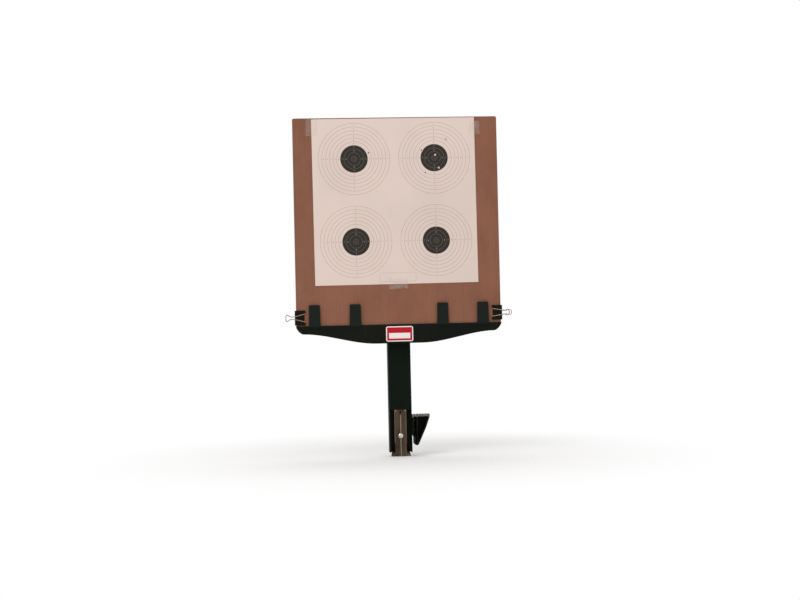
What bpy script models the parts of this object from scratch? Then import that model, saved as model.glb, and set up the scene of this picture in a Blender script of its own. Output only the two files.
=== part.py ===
"""A target stand: a steel ground stake, a hollow plastic post with a foot pedal, and a crosspiece that
holds a cardboard backer, a paper score sheet and two binder clips.

X runs to the right along the crosspiece, Y runs away from the viewer and Z runs up. The origin is on
the stake, at the ground line. Every length is in metres.
"""

import math

import bmesh
import bpy
from mathutils import Matrix, Vector

MM = 0.001

# Clearances
SEAT_GAP = 0.3 * MM
SHANK_CLEARANCE = 0.35 * MM
WIRE_CLEARANCE = 0.3 * MM
CUT_PAST = 2.0 * MM
WELD = 0.001 * MM
FLAT_ANGLE = math.radians(0.01)

# Ground stake: one strip of sheet steel, folded into a channel above and opened out into a blade below
STAKE_WIDTH = 28.5 * MM
STAKE_DEPTH = 9.0 * MM
STAKE_SHEET = 2.0 * MM
STAKE_BEND_RADIUS = 3.0 * MM
STAKE_TOP = 103.0 * MM
STAKE_BURIED = 150.0 * MM
STAKE_TIP_LENGTH = 40.0 * MM
STAKE_TIP_WIDTH = 5.0 * MM
STAKE_CORNER_RADIUS = 4.0 * MM
STAKE_BLADE_TOP = 0.0 * MM
STAKE_FLARE_TOP = 24.0 * MM
STAKE_BLADE_ANGLE = math.radians(15.0)
STAKE_HOLE_DIAMETER = 5.6 * MM
STAKE_HOLE_FROM_TOP = 7.2 * MM
STAKE_BOLT_HEIGHT = 44.6 * MM
BEAD_WIDTH = 6.0 * MM
BEAD_HEIGHT = 1.2 * MM
BEAD_RAMP = 4.0 * MM
BEAD_HOLE_MARGIN = 3.5 * MM
BEAD_BOLT_MARGIN = 8.0 * MM
BEAD_TIP_MARGIN = 8.0 * MM

# Bolts, washers and wing nuts
BOLT_DIAMETER = 6.0 * MM
BOLT_HEAD_DIAMETER = 11.6 * MM
BOLT_HEAD_HEIGHT = 2.9 * MM
BOLT_PAST_NUT = 1.5 * MM
BOLT_HEAD_RIM = 0.6 * MM
BOLT_END_CHAMFER = 0.6 * MM
WASHER_DIAMETER = 18.0 * MM
WASHER_THICKNESS = 1.2 * MM
NUT_HUB_DIAMETER = 12.0 * MM
NUT_NECK_DIAMETER = 10.0 * MM
NUT_HUB_HEIGHT = 7.0 * MM
NUT_WING_SPAN = 29.0 * MM
NUT_WING_THICKNESS = 2.2 * MM
NUT_WING_RISE = 5.0 * MM
NUT_WING_TIP_RADIUS = 3.2 * MM
NUT_WING_ROOT_START = 0.8 * MM
NUT_WING_ROOT_END = 5.6 * MM

# Post
POST_WIDTH = 50.0 * MM
POST_DEPTH = 30.0 * MM
POST_WALL = 2.7 * MM
POST_SKIN = 3.0 * MM
POST_FLOOR = 3.0 * MM
POST_CORNER_RADIUS = 5.0 * MM
POST_BACK_RADIUS = 1.5 * MM
POST_BOTTOM = 9.0 * MM
POST_ABOVE_PIVOT = 24.0 * MM
POST_ROOF = 4.0 * MM
POST_TOP_RADIUS = 10.0 * MM
POST_SKIN_BOTTOM = 102.0 * MM
POST_TRAVEL = 44.0 * MM
POST_RIB = 2.5 * MM
POST_RIB_COUNT = 3
POST_BOSS_DIAMETER = 16.0 * MM
NUT_ROOM = 4.0 * MM

# Pedal on the post's right side
PEDAL_TOP = 90.0 * MM
PEDAL_REACH = 38.5 * MM
PEDAL_HEIGHT = 66.5 * MM
PEDAL_WALL = 3.2 * MM
PEDAL_BACK = 2.4 * MM
PEDAL_SHOULDER = 4.0 * MM
PEDAL_BULGE_REACH = 30.0 * MM
PEDAL_BULGE_DROP = 28.0 * MM
PEDAL_TAIL_WIDTH = 10.6 * MM
PEDAL_TAIL_GAP = 3.6 * MM
PEDAL_SEAT_HEIGHT = 44.0 * MM
PEDAL_STEP_LENGTH = 7.0 * MM
PEDAL_RIB_FROM_POST = 9.6 * MM
PEDAL_RIB = 2.2 * MM
TREAD_RIDGE_HEIGHT = 1.0 * MM
TREAD_RIDGE_WIDTH = 1.8 * MM
TREAD_RIDGE_COUNT = 7
PEDAL_SCREW_DIAMETER = 4.0 * MM
PEDAL_SCREW_HEAD = 7.2 * MM
PEDAL_SCREW_HEAD_HEIGHT = 2.4 * MM
PEDAL_SCREW_HEAD_EDGE = 1.1 * MM
PEDAL_SCREW_HEAD_FLAT = 5.0 * MM
PEDAL_SCREW_POINT = 1.4 * MM
PEDAL_SCREW_TIP = 1.8 * MM
PEDAL_SCREW_PAST_WALL = 2.4 * MM
PEDAL_SCREW_DROPS = (13.0 * MM, 34.0 * MM)
PEDAL_ACCESS_DIAMETER = 8.6 * MM

# Crosspiece
LIP_HEIGHT = 289.0 * MM
PIVOT_BELOW_LIP = 28.0 * MM
CROSS_PAST_BOARD = 1.0 * MM
CROSS_END_HEIGHT = 18.0 * MM
CROSS_MIDDLE_HEIGHT = 41.3 * MM
CROSS_BELLY_HALF = 50.0 * MM
CROSS_CORNER_WIDTH = 15.5 * MM
CROSS_CORNER_SQUARENESS = 1.5
CROSS_WALL = 2.5 * MM
CROSS_BACK_DEPTH = 10.0 * MM
CROSS_RIB = 2.0 * MM
CROSS_RIB_PITCH = 38.0 * MM
CROSS_POCKET_DRAFT = 0.7 * MM
CROSS_POCKET_HEIGHT = 5.0 * MM
CROSS_BOSS_DIAMETER = 24.0 * MM
SLOT_DEPTH = 3.5 * MM
HEAD_RECESS_DIAMETER = 14.6 * MM
HEAD_RECESS_DEPTH = 4.2 * MM
PIVOT_SPACER_THICKNESS = 1.0 * MM
PIVOT_SPACER_DIAMETER = 22.0 * MM

# Board fingers and clip ears on the crosspiece
FINGER_INNER = 95.2 * MM
FINGER_OUTER_FROM_END = 40.6 * MM
FINGER_TOP_WIDTH = 23.4 * MM
FINGER_FOOT_WIDTH = 25.6 * MM
FINGER_RISE = 45.0 * MM
FINGER_DROP = 5.0 * MM
FINGER_PROUD = 2.0 * MM
FINGER_CORNER = 1.5 * MM
GUSSET_HEIGHT = 30.0 * MM
GUSSET_FOOT = 1.0 * MM
GROOVE_CUT = 1.0 * MM
EAR_WIDTH = 20.0 * MM
EAR_RISE = 40.0 * MM
EAR_INSET = 2.5 * MM
EAR_CORNER = 6.0 * MM

# Backer board, score sheet, tapes and label
BOARD_WIDTH = 446.0 * MM
BOARD_HEIGHT = 454.0 * MM
BOARD_THICKNESS = 4.0 * MM
BOARD_TOP_SLANT = 1.2 * MM
BOARD_CORNER_CUT = 2.5 * MM
SHEET_WIDTH = 355.6 * MM
SHEET_HEIGHT = 361.0 * MM
SHEET_THICKNESS = 0.35 * MM
SHEET_LEFT_MARGIN = 41.9 * MM
SHEET_TOP_MARGIN = 2.5 * MM
SHEET_TURN = math.radians(0.25)
TAPE_THICKNESS = 0.3 * MM
TAPE_ON_SHEET = 12.0 * MM
TAPE_STEP_LENGTH = 2.6 * MM
LEFT_TAPE_LENGTH = 36.0 * MM
LEFT_TAPE_ON_BOARD = 13.0 * MM
LEFT_TAPE_BELOW_SHEET_TOP = 0.5 * MM
RIGHT_TAPE_LENGTH = 29.0 * MM
RIGHT_TAPE_ON_BOARD = 11.0 * MM
RIGHT_TAPE_BELOW_SHEET_TOP = 7.0 * MM
BOTTOM_TAPE_LENGTH = 42.0 * MM
BOTTOM_TAPE_ON_BOARD = 11.0 * MM
BOTTOM_TAPE_OFFSET = -0.5 * MM
LABEL_WIDTH = 59.0 * MM
LABEL_HEIGHT = 33.0 * MM
LABEL_THICKNESS = 0.4 * MM
LABEL_BELOW_LIP = 4.5 * MM
LABEL_CORNER = 4.0 * MM

# Binder clips
CLIP_WIDTH = 32.0 * MM
CLIP_DEPTH = 21.0 * MM
CLIP_SHEET = 0.6 * MM
CLIP_SPINE_WIDTH = 15.0 * MM
CLIP_SPINE_RADIUS = 2.2 * MM
CLIP_STANDOFF = 3.0 * MM
CLIP_ROLL_DIAMETER = 3.7 * MM
CLIP_ROLL_LENGTH = 6.4 * MM
LEFT_CLIP_ABOVE_LIP = 1.8 * MM
RIGHT_CLIP_ABOVE_LIP = 5.0 * MM
HANDLE_WIRE = 1.8 * MM
HANDLE_LENGTH = 42.6 * MM
HANDLE_ARM_SPREAD = 16.0 * MM
HANDLE_NECK = 7.8 * MM
HANDLE_LOOP_DIAMETER = 13.6 * MM
HANDLE_END_INSET = 1.2 * MM
HANDLE_BEND = 1.0 * MM
HANDLE_NECK_RUN = 6.0 * MM
HANDLE_NECK_SPREAD = 1.0 * MM
HANDLE_LEAN = math.radians(12.0)

# Faces seen from above, from front to back
POST_FRONT = -POST_DEPTH / 2
POST_BACK = POST_DEPTH / 2
SKIN_BACK = POST_FRONT + POST_SKIN
STAKE_BACK_ROOM = SEAT_GAP
BOLT_HEAD_ROOM = 0.7 * MM
STAKE_FRONT = SKIN_BACK + BOLT_HEAD_ROOM + BOLT_HEAD_HEIGHT + SEAT_GAP
FLOOR_FRONT = STAKE_FRONT + STAKE_DEPTH + STAKE_BACK_ROOM
FLOOR_BACK = FLOOR_FRONT + POST_FLOOR
CROSS_REAR = POST_FRONT - PIVOT_SPACER_THICKNESS - 2 * SEAT_GAP
SLOT_WALL_BACK = CROSS_REAR - CROSS_BACK_DEPTH
SLOT_BACK = SLOT_WALL_BACK - CROSS_WALL
BOARD_BACK = SLOT_BACK - SEAT_GAP
BOARD_FRONT = BOARD_BACK - BOARD_THICKNESS
SLOT_FRONT = BOARD_FRONT - SEAT_GAP
CROSS_FRONT = SLOT_FRONT - CROSS_WALL
FINGER_FRONT = CROSS_FRONT - FINGER_PROUD
SHEET_BACK = BOARD_FRONT - SEAT_GAP
SHEET_FRONT = SHEET_BACK - SHEET_THICKNESS

# Heights and half widths that several pieces share
PIVOT_HEIGHT = LIP_HEIGHT - PIVOT_BELOW_LIP
POST_TOP = PIVOT_HEIGHT + POST_ABOVE_PIVOT
POST_INNER_HALF = POST_WIDTH / 2 - POST_WALL
CROSS_HALF = BOARD_WIDTH / 2 + CROSS_PAST_BOARD
FINGER_OUTER = CROSS_HALF - FINGER_OUTER_FROM_END
SLOT_FLOOR = LIP_HEIGHT - SLOT_DEPTH
BOARD_BOTTOM = SLOT_FLOOR + SEAT_GAP
BOARD_TOP = BOARD_BOTTOM + BOARD_HEIGHT
SHEET_LEFT = -BOARD_WIDTH / 2 + SHEET_LEFT_MARGIN
SHEET_RIGHT = SHEET_LEFT + SHEET_WIDTH
SHEET_TOP = BOARD_TOP - SHEET_TOP_MARGIN
SHEET_BOTTOM = SHEET_TOP - SHEET_HEIGHT
SHANK_HOLE_RADIUS = BOLT_DIAMETER / 2 + SHANK_CLEARANCE
NUT_FOOT = FLOOR_BACK + WASHER_THICKNESS + 2 * SEAT_GAP

# Clip jaws: the board and the crosspiece's ear lie between them
JAW_FRONT = BOARD_FRONT - SEAT_GAP
JAW_BACK = SLOT_WALL_BACK + SEAT_GAP
CLIP_MIDDLE = (JAW_FRONT + JAW_BACK) / 2
CLIP_SPINE = BOARD_WIDTH / 2 + CLIP_STANDOFF
ROLL_X = CLIP_SPINE - CLIP_DEPTH
ROLL_OFFSET = (JAW_BACK - JAW_FRONT) / 2 + CLIP_ROLL_DIAMETER / 2

ALONG_Y = Matrix.Rotation(math.radians(90.0), 4, "X")
ALONG_X = Matrix.Rotation(math.radians(90.0), 4, "Y")


def clear_scene():
    for obj in list(bpy.context.scene.objects):
        bpy.data.objects.remove(obj)


def new_collection(name):
    collection = bpy.data.collections.new(name)
    bpy.context.scene.collection.children.link(collection)
    return collection


def new_material(name, colour, roughness, metallic=0.0):
    material = bpy.data.materials.new(name)
    material.use_nodes = True
    shader = material.node_tree.nodes["Principled BSDF"]
    shader.inputs["Base Color"].default_value = (*colour, 1.0)
    shader.inputs["Roughness"].default_value = roughness
    shader.inputs["Metallic"].default_value = metallic
    return material


clear_scene()
PARTS = new_collection("target_stand")
HELPERS = new_collection("cutters")
GREEN_PLASTIC = new_material("green_plastic", (0.010, 0.014, 0.010), 0.5)
STEEL = new_material("satin_steel", (0.30, 0.27, 0.24), 0.38, 1.0)
ZINC = new_material("zinc_plate", (0.62, 0.62, 0.60), 0.28, 1.0)
CARDBOARD = new_material("cardboard", (0.24, 0.10, 0.065), 0.85)
PAPER = new_material("paper", (0.72, 0.60, 0.53), 0.8)
TAPE = new_material("clear_tape", (0.50, 0.42, 0.38), 0.25)
LABEL = new_material("label_film", (0.45, 0.02, 0.03), 0.35)
BLACK_STEEL = new_material("black_steel", (0.015, 0.012, 0.010), 0.35)
WIRE_STEEL = new_material("wire_steel", (0.75, 0.75, 0.73), 0.2, 1.0)


def new_object(name, mesh, collection=None, material=None):
    obj = bpy.data.objects.new(name, mesh)
    (collection or PARTS).objects.link(obj)
    if material:
        mesh.materials.append(material)
    return obj


def helper(obj):
    """Marks an object as a shape that only cuts or joins another."""
    obj.hide_render = True
    obj.display_type = "WIRE"
    return obj


def mesh_from(obj, name):
    """An object's evaluated shape as a new mesh in world space, with its caps welded and its flats joined."""
    bpy.context.view_layer.update()
    graph = bpy.context.evaluated_depsgraph_get()
    mesh = bpy.data.meshes.new_from_object(obj.evaluated_get(graph))
    mesh.name = name
    mesh.transform(obj.matrix_world)
    work = bmesh.new()
    work.from_mesh(mesh)
    bmesh.ops.remove_doubles(work, verts=work.verts, dist=WELD)
    bmesh.ops.dissolve_degenerate(work, dist=WELD, edges=work.edges)
    bmesh.ops.recalc_face_normals(work, faces=work.faces)
    bmesh.ops.dissolve_limit(work, angle_limit=FLAT_ANGLE, verts=work.verts, edges=work.edges)
    work.to_mesh(mesh)
    work.free()
    bpy.data.objects.remove(obj)
    return mesh


def without_straight_points(outline):
    """The outline without the points that lie on a straight line between their neighbours."""
    kept = []
    for index, point in enumerate(outline):
        before = Vector(kept[-1] if kept else outline[-1])
        after = Vector(outline[(index + 1) % len(outline)])
        here = Vector(point)
        length = (after - before).length
        stands_off = abs((here - before).cross(after - before)) / length if length > WELD else math.inf
        if stands_off > WELD:
            kept.append(point)
    return kept


def plate_mesh(name, outline, start, end, turn):
    """A flat outline as a filled 2D curve, extruded from start to end along the axis that turn gives."""
    curve = bpy.data.curves.new(name, "CURVE")
    curve.dimensions = "2D"
    curve.fill_mode = "BOTH"
    curve.extrude = abs(end - start) / 2
    outline = without_straight_points(outline)
    spline = curve.splines.new("POLY")
    spline.points.add(len(outline) - 1)
    for point, (across, up) in zip(spline.points, outline):
        point.co = (across, up, 0.0, 1.0)
    spline.use_cyclic_u = True
    obj = new_object(name, curve, HELPERS)
    middle = (start + end) / 2
    places = {"X": (middle, 0, 0), "Y": (0, middle, 0), "Z": (0, 0, middle)}
    turns = {"X": ALONG_X, "Y": ALONG_Y, "Z": Matrix.Identity(4)}
    obj.matrix_world = Matrix.Translation(places[turn]) @ turns[turn]
    return mesh_from(obj, name)


def facing_plate(name, outline, front, back):
    """A plate whose outline is drawn in X and Z, as the viewer sees it."""
    return plate_mesh(name, outline, front, back, "Y")


def standing_plate(name, outline, bottom, top):
    """A plate whose outline is drawn in X and Y, as seen from above."""
    return plate_mesh(name, outline, bottom, top, "Z")


def side_plate(name, outline, left, right):
    """A plate whose outline is drawn in Y and Z, as seen from the side."""
    turned = [(-z, y) for y, z in outline]
    return plate_mesh(name, turned, left, right, "X")


def box_mesh(name, x_range, y_range, z_range):
    mesh = bpy.data.meshes.new(name)
    low = Vector((x_range[0], y_range[0], z_range[0]))
    high = Vector((x_range[1], y_range[1], z_range[1]))
    work = bmesh.new()
    bmesh.ops.create_cube(work, size=1.0)
    bmesh.ops.scale(work, vec=high - low, verts=work.verts)
    bmesh.ops.translate(work, vec=(low + high) / 2, verts=work.verts)
    work.to_mesh(mesh)
    work.free()
    return mesh


def rod_mesh(name, diameter, start, end, segments=24):
    """A plain cylinder between two points."""
    mesh = bpy.data.meshes.new(name)
    start = Vector(start)
    end = Vector(end)
    along = end - start
    place = Matrix.Translation((start + end) / 2) @ along.to_track_quat("Z", "Y").to_matrix().to_4x4()
    work = bmesh.new()
    bmesh.ops.create_cone(
        work,
        cap_ends=True,
        segments=segments,
        radius1=diameter / 2,
        radius2=diameter / 2,
        depth=along.length,
        matrix=place,
    )
    work.to_mesh(mesh)
    work.free()
    return mesh


def turned_mesh(name, profile, place, steps=24):
    """A profile of (radius, height) points turned about local Z, from its top down its outer side."""
    outline = bpy.data.meshes.new(name)
    points = [(radius, 0.0, height) for radius, height in profile]
    closed = profile[0][0] > 0.0
    edges = [(i, i + 1) for i in range(len(points) - 1)]
    if closed:
        edges.append((len(points) - 1, 0))
    outline.from_pydata(points, edges, [])
    obj = new_object(name, outline, HELPERS)
    screw = obj.modifiers.new("turn", "SCREW")
    screw.axis = "Z"
    screw.angle = math.tau
    screw.steps = steps
    screw.render_steps = steps
    screw.use_merge_vertices = True
    screw.merge_threshold = 1e-6
    obj.matrix_world = place
    return mesh_from(obj, name)


def wire_object(name, points, diameter, material, bevel_resolution=1):
    """A round wire along points, as a curve with filled caps."""
    curve = bpy.data.curves.new(name, "CURVE")
    curve.dimensions = "3D"
    curve.bevel_depth = diameter / 2
    curve.bevel_resolution = bevel_resolution
    curve.use_fill_caps = True
    spline = curve.splines.new("POLY")
    spline.points.add(len(points) - 1)
    for point, place in zip(spline.points, points):
        point.co = (*place, 1.0)
    return new_object(name, curve, PARTS, material)


def gather(name, meshes):
    """Several shapes that stand clear of each other as one mesh."""
    work = bmesh.new()
    for mesh in meshes:
        work.from_mesh(mesh)
        bpy.data.meshes.remove(mesh)
    gathered = bpy.data.meshes.new(name)
    work.to_mesh(gathered)
    work.free()
    return gathered


def combine(target, mesh, operation, solver="EXACT"):
    """Adds a Boolean to the target, with its other shape kept as a helper that follows the target."""
    other = helper(new_object(mesh.name, mesh, HELPERS))
    other.parent = target
    modifier = target.modifiers.new(mesh.name, "BOOLEAN")
    modifier.operation = operation
    modifier.solver = solver
    modifier.object = other


def cut(target, mesh, solver="EXACT"):
    combine(target, mesh, "DIFFERENCE", solver)


def join(target, mesh):
    combine(target, mesh, "UNION")


def joint_empty(name, place, parent=None):
    """An empty on a joint's axis. What it carries moves when it is turned or slid."""
    empty = bpy.data.objects.new(name, None)
    PARTS.objects.link(empty)
    empty.empty_display_size = 20 * MM
    empty.location = Vector(place)
    if parent:
        empty.parent = parent
        empty.matrix_parent_inverse = Matrix.Translation(world_place(parent)).inverted()
    return empty


def world_place(obj):
    """Where an unturned empty stands, from its own location and those of its parents."""
    bpy.context.view_layer.update()
    return obj.matrix_world.translation.copy()


def hang(obj, empty):
    """Puts an object's origin at an empty and parents it there, with its shape left where it is."""
    place = world_place(empty)
    back = Matrix.Translation(-place)
    obj.data.transform(back)
    obj.parent = empty
    for other in obj.children:
        other.data.transform(back)


def arc(centre, radius, start, end, segments):
    """Points on a circle, from one angle in degrees to another."""
    angles = [math.radians(start + (end - start) * i / segments) for i in range(segments + 1)]
    return [(centre[0] + radius * math.cos(a), centre[1] + radius * math.sin(a)) for a in angles]


def rounded_rectangle(x0, x1, y0, y1, radii, segments=5):
    """An outline that runs round from the lower left corner, with one radius for each corner."""
    corners = (
        ((x0, y0), (1, 1), 180),
        ((x1, y0), (-1, 1), 270),
        ((x1, y1), (-1, -1), 0),
        ((x0, y1), (1, -1), 90),
    )
    points = []
    for ((x, y), (inward_x, inward_y), angle), radius in zip(corners, radii):
        if radius:
            centre = (x + inward_x * radius, y + inward_y * radius)
            points += arc(centre, radius, angle, angle + 90, segments)
        else:
            points.append((x, y))
    return points


def smooth_step(value, start, end):
    """0 before start and 1 after end, with a smooth change between them."""
    share = min(max((value - start) / (end - start), 0.0), 1.0)
    return share * share * (3 - 2 * share)


def inset(outline, distance):
    """The outline moved inwards by a wall's thickness. It runs anticlockwise."""
    moved = []
    for index, point in enumerate(outline):
        here = Vector(point)
        before = (here - Vector(outline[index - 1])).normalized()
        after = (Vector(outline[(index + 1) % len(outline)]) - here).normalized()
        normal_before = Vector((-before.y, before.x))
        normal_after = Vector((-after.y, after.x))
        mitre = (normal_before + normal_after).normalized()
        moved.append(tuple(here + mitre * distance / mitre.dot(normal_before)))
    return moved


# Ground stake


def bead_height(height):
    """How far the pressed bead stands out at a height. It stops at the two holes and near the tip."""
    hole = STAKE_TOP - STAKE_HOLE_FROM_TOP
    upper_top = hole - BEAD_HOLE_MARGIN
    upper_bottom = STAKE_BOLT_HEIGHT + BEAD_BOLT_MARGIN
    lower_top = STAKE_BOLT_HEIGHT - BEAD_BOLT_MARGIN
    lower_bottom = -STAKE_BURIED + STAKE_TIP_LENGTH + BEAD_TIP_MARGIN
    for top, bottom in ((upper_top, upper_bottom), (lower_top, lower_bottom)):
        if bottom < height < top:
            ramp = min(top - height, height - bottom)
            return BEAD_HEIGHT * smooth_step(ramp, 0.0, BEAD_RAMP)
    return 0.0


def stake_section(height):
    """The stake's front surface at a height, as (x, y) points from its left edge to its right edge."""
    opened = 1 - smooth_step(height, STAKE_BLADE_TOP, STAKE_FLARE_TOP)
    folded = math.radians(90.0)
    angle = folded + (STAKE_BLADE_ANGLE - folded) * opened
    strip = STAKE_DEPTH - STAKE_BEND_RADIUS + STAKE_BEND_RADIUS * folded
    flange = strip - STAKE_BEND_RADIUS * angle
    web_half = STAKE_WIDTH / 2 - STAKE_BEND_RADIUS
    side = []
    for step in range(4):
        turn = angle * step / 3
        across = web_half + STAKE_BEND_RADIUS * math.sin(turn)
        side.append((across, STAKE_FRONT + STAKE_BEND_RADIUS * (1 - math.cos(turn))))
    across, back = side[-1]
    side.append((across + flange * math.cos(angle), back + flange * math.sin(angle)))
    bead = bead_height(height)
    half = BEAD_WIDTH / 2
    middle = [(half * share, STAKE_FRONT - bead * (1 - share * share)) for share in (-1, -0.5, 0, 0.5, 1)]
    left = [(-across, back) for across, back in reversed(side)]
    return left + middle + side


def stake_heights():
    """The heights at which the stake's section is drawn, from the tip up."""
    hole = STAKE_TOP - STAKE_HOLE_FROM_TOP
    bead_ends = (
        hole - BEAD_HOLE_MARGIN,
        STAKE_BOLT_HEIGHT + BEAD_BOLT_MARGIN,
        STAKE_BOLT_HEIGHT - BEAD_BOLT_MARGIN,
        -STAKE_BURIED + STAKE_TIP_LENGTH + BEAD_TIP_MARGIN,
    )
    ramps = (-BEAD_RAMP, BEAD_RAMP, -BEAD_RAMP, BEAD_RAMP)
    heights = {-STAKE_BURIED - CUT_PAST, STAKE_TOP + CUT_PAST}
    for end, ramp in zip(bead_ends, ramps):
        heights |= {end, end + ramp / 2, end + ramp}
    flare_steps = 7
    for step in range(flare_steps + 1):
        heights.add(STAKE_BLADE_TOP + (STAKE_FLARE_TOP - STAKE_BLADE_TOP) * step / flare_steps)
    return sorted(heights)


def stake_outline():
    """The stake's silhouette from the front: rounded top corners, straight sides and a pointed foot."""
    half = STAKE_WIDTH / 2
    wide = half + STAKE_DEPTH + CUT_PAST
    top = STAKE_TOP
    radius = STAKE_CORNER_RADIUS
    shoulder = -STAKE_BURIED + STAKE_TIP_LENGTH
    right = [(STAKE_TIP_WIDTH / 2, -STAKE_BURIED), (wide, shoulder), (wide, STAKE_FLARE_TOP)]
    right.append((half + CUT_PAST, STAKE_FLARE_TOP))
    right.append((half + CUT_PAST, top - radius))
    right += arc((half - radius, top - radius), radius, 0, 90, 5)
    left = [(-across, height) for across, height in reversed(right)]
    return right + left


def make_stake(empty):
    heights = stake_heights()
    sections = [stake_section(height) for height in heights]
    mesh = bpy.data.meshes.new("stake")
    work = bmesh.new()
    rows = [
        [work.verts.new((across, back, height)) for across, back in section]
        for section, height in zip(sections, heights)
    ]
    for lower, upper in zip(rows, rows[1:]):
        for column in range(len(lower) - 1):
            work.faces.new((lower[column], lower[column + 1], upper[column + 1], upper[column]))
    work.to_mesh(mesh)
    work.free()
    stake = new_object("stake", mesh, PARTS, STEEL)
    shell = stake.modifiers.new("sheet", "SOLIDIFY")
    shell.thickness = STAKE_SHEET
    shell.offset = -1.0
    back = STAKE_FRONT + STAKE_DEPTH + CUT_PAST
    front = STAKE_FRONT - BEAD_HEIGHT - CUT_PAST
    combine(stake, facing_plate("stake_silhouette", stake_outline(), front, back), "INTERSECT")
    hole_height = STAKE_TOP - STAKE_HOLE_FROM_TOP
    cut(stake, rod_mesh("stake_hole", STAKE_HOLE_DIAMETER, (0, front, hole_height), (0, back, hole_height)))
    bolt_hole = rod_mesh(
        "stake_bolt_hole",
        2 * SHANK_HOLE_RADIUS,
        (0, front, STAKE_BOLT_HEIGHT),
        (0, back, STAKE_BOLT_HEIGHT),
    )
    cut(stake, bolt_hole)
    hang(stake, empty)


# Bolts, washers and wing nuts


def facing_back(height, front):
    """Places a turned shape so that its local Z points to the back from a face at a height."""
    return Matrix.Translation((0, front, height)) @ Matrix.Rotation(math.radians(-90.0), 4, "X")


def make_bolt(name, height, head_seat, empty):
    """A carriage bolt along Y with its domed head in front of a seat, and its end past the wing nut."""
    end = NUT_FOOT + NUT_HUB_HEIGHT + BOLT_PAST_NUT - head_seat
    radius = BOLT_DIAMETER / 2
    head = BOLT_HEAD_DIAMETER / 2
    rim = BOLT_HEAD_RIM
    chamfer = BOLT_END_CHAMFER
    profile = [(0.0, end), (radius - chamfer, end), (radius, end - chamfer), (radius, 0.0), (head, 0.0)]
    dome_steps = 5
    for step in range(dome_steps + 1):
        angle = math.radians(90.0) * step / dome_steps
        profile.append((head * math.cos(angle), -rim - (BOLT_HEAD_HEIGHT - rim) * math.sin(angle)))
    profile[-1] = (0.0, -BOLT_HEAD_HEIGHT)
    mesh = turned_mesh(name, profile, facing_back(height, head_seat))
    hang(new_object(name, mesh, PARTS, ZINC), empty)


def make_washer(name, height, front, thickness, diameter, empty):
    profile = [
        (diameter / 2, thickness),
        (diameter / 2, 0.0),
        (SHANK_HOLE_RADIUS, 0.0),
        (SHANK_HOLE_RADIUS, thickness),
    ]
    mesh = turned_mesh(name, profile, facing_back(height, front), 32)
    hang(new_object(name, mesh, PARTS, ZINC), empty)


def make_wing_nut(name, height, foot, empty):
    """A wing nut on a bolt along Y: a coned hub, and two wings that lean back from its foot."""
    hub = [
        (NUT_NECK_DIAMETER / 2, NUT_HUB_HEIGHT),
        (NUT_HUB_DIAMETER / 2, 0.0),
        (SHANK_HOLE_RADIUS, 0.0),
        (SHANK_HOLE_RADIUS, NUT_HUB_HEIGHT),
    ]
    nut = new_object(name, turned_mesh(name, hub, facing_back(height, foot)), PARTS, ZINC)
    wings = []
    for side in (-1, 1):
        outline = [(across, foot + up) for across, up in wing_profile(side)]
        thickness = (height - NUT_WING_THICKNESS / 2, height + NUT_WING_THICKNESS / 2)
        wings.append(standing_plate("wing", outline, *thickness))
    join(nut, gather(f"{name}_wings", wings))
    hang(nut, empty)


def wing_profile(side):
    """One wing seen along the wing's thin side: it leaves the hub low down and rises to a round tip."""
    root = (SHANK_HOLE_RADIUS + NUT_NECK_DIAMETER / 2) / 2
    reach = NUT_WING_SPAN / 2
    tip = NUT_WING_TIP_RADIUS
    top = NUT_HUB_HEIGHT + NUT_WING_RISE
    points = [(root, NUT_WING_ROOT_START), (NUT_HUB_DIAMETER / 2, NUT_WING_ROOT_START)]
    points += arc((reach - tip, top - tip), tip, -40, 150, 8)
    points += [(root, NUT_WING_ROOT_END)]
    if side < 0:
        points = [(-across, up) for across, up in reversed(points)]
    return points


# Post


def post_pockets():
    """The height ranges of the open pockets in the post's back, with a rib between each two."""
    nut_top = STAKE_BOLT_HEIGHT + POST_TRAVEL + NUT_WING_SPAN / 2 + NUT_ROOM
    pivot_room = PIVOT_HEIGHT - NUT_WING_SPAN / 2 - NUT_ROOM + POST_RIB
    pitch = (pivot_room - nut_top) / (POST_RIB_COUNT - 1)
    rib_bottoms = [nut_top + (pitch - POST_RIB / 2) * index for index in range(POST_RIB_COUNT)]
    bottoms = [POST_BOTTOM - CUT_PAST] + [bottom + POST_RIB for bottom in rib_bottoms]
    tops = rib_bottoms + [POST_TOP - POST_ROOF]
    return list(zip(bottoms, tops))


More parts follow.
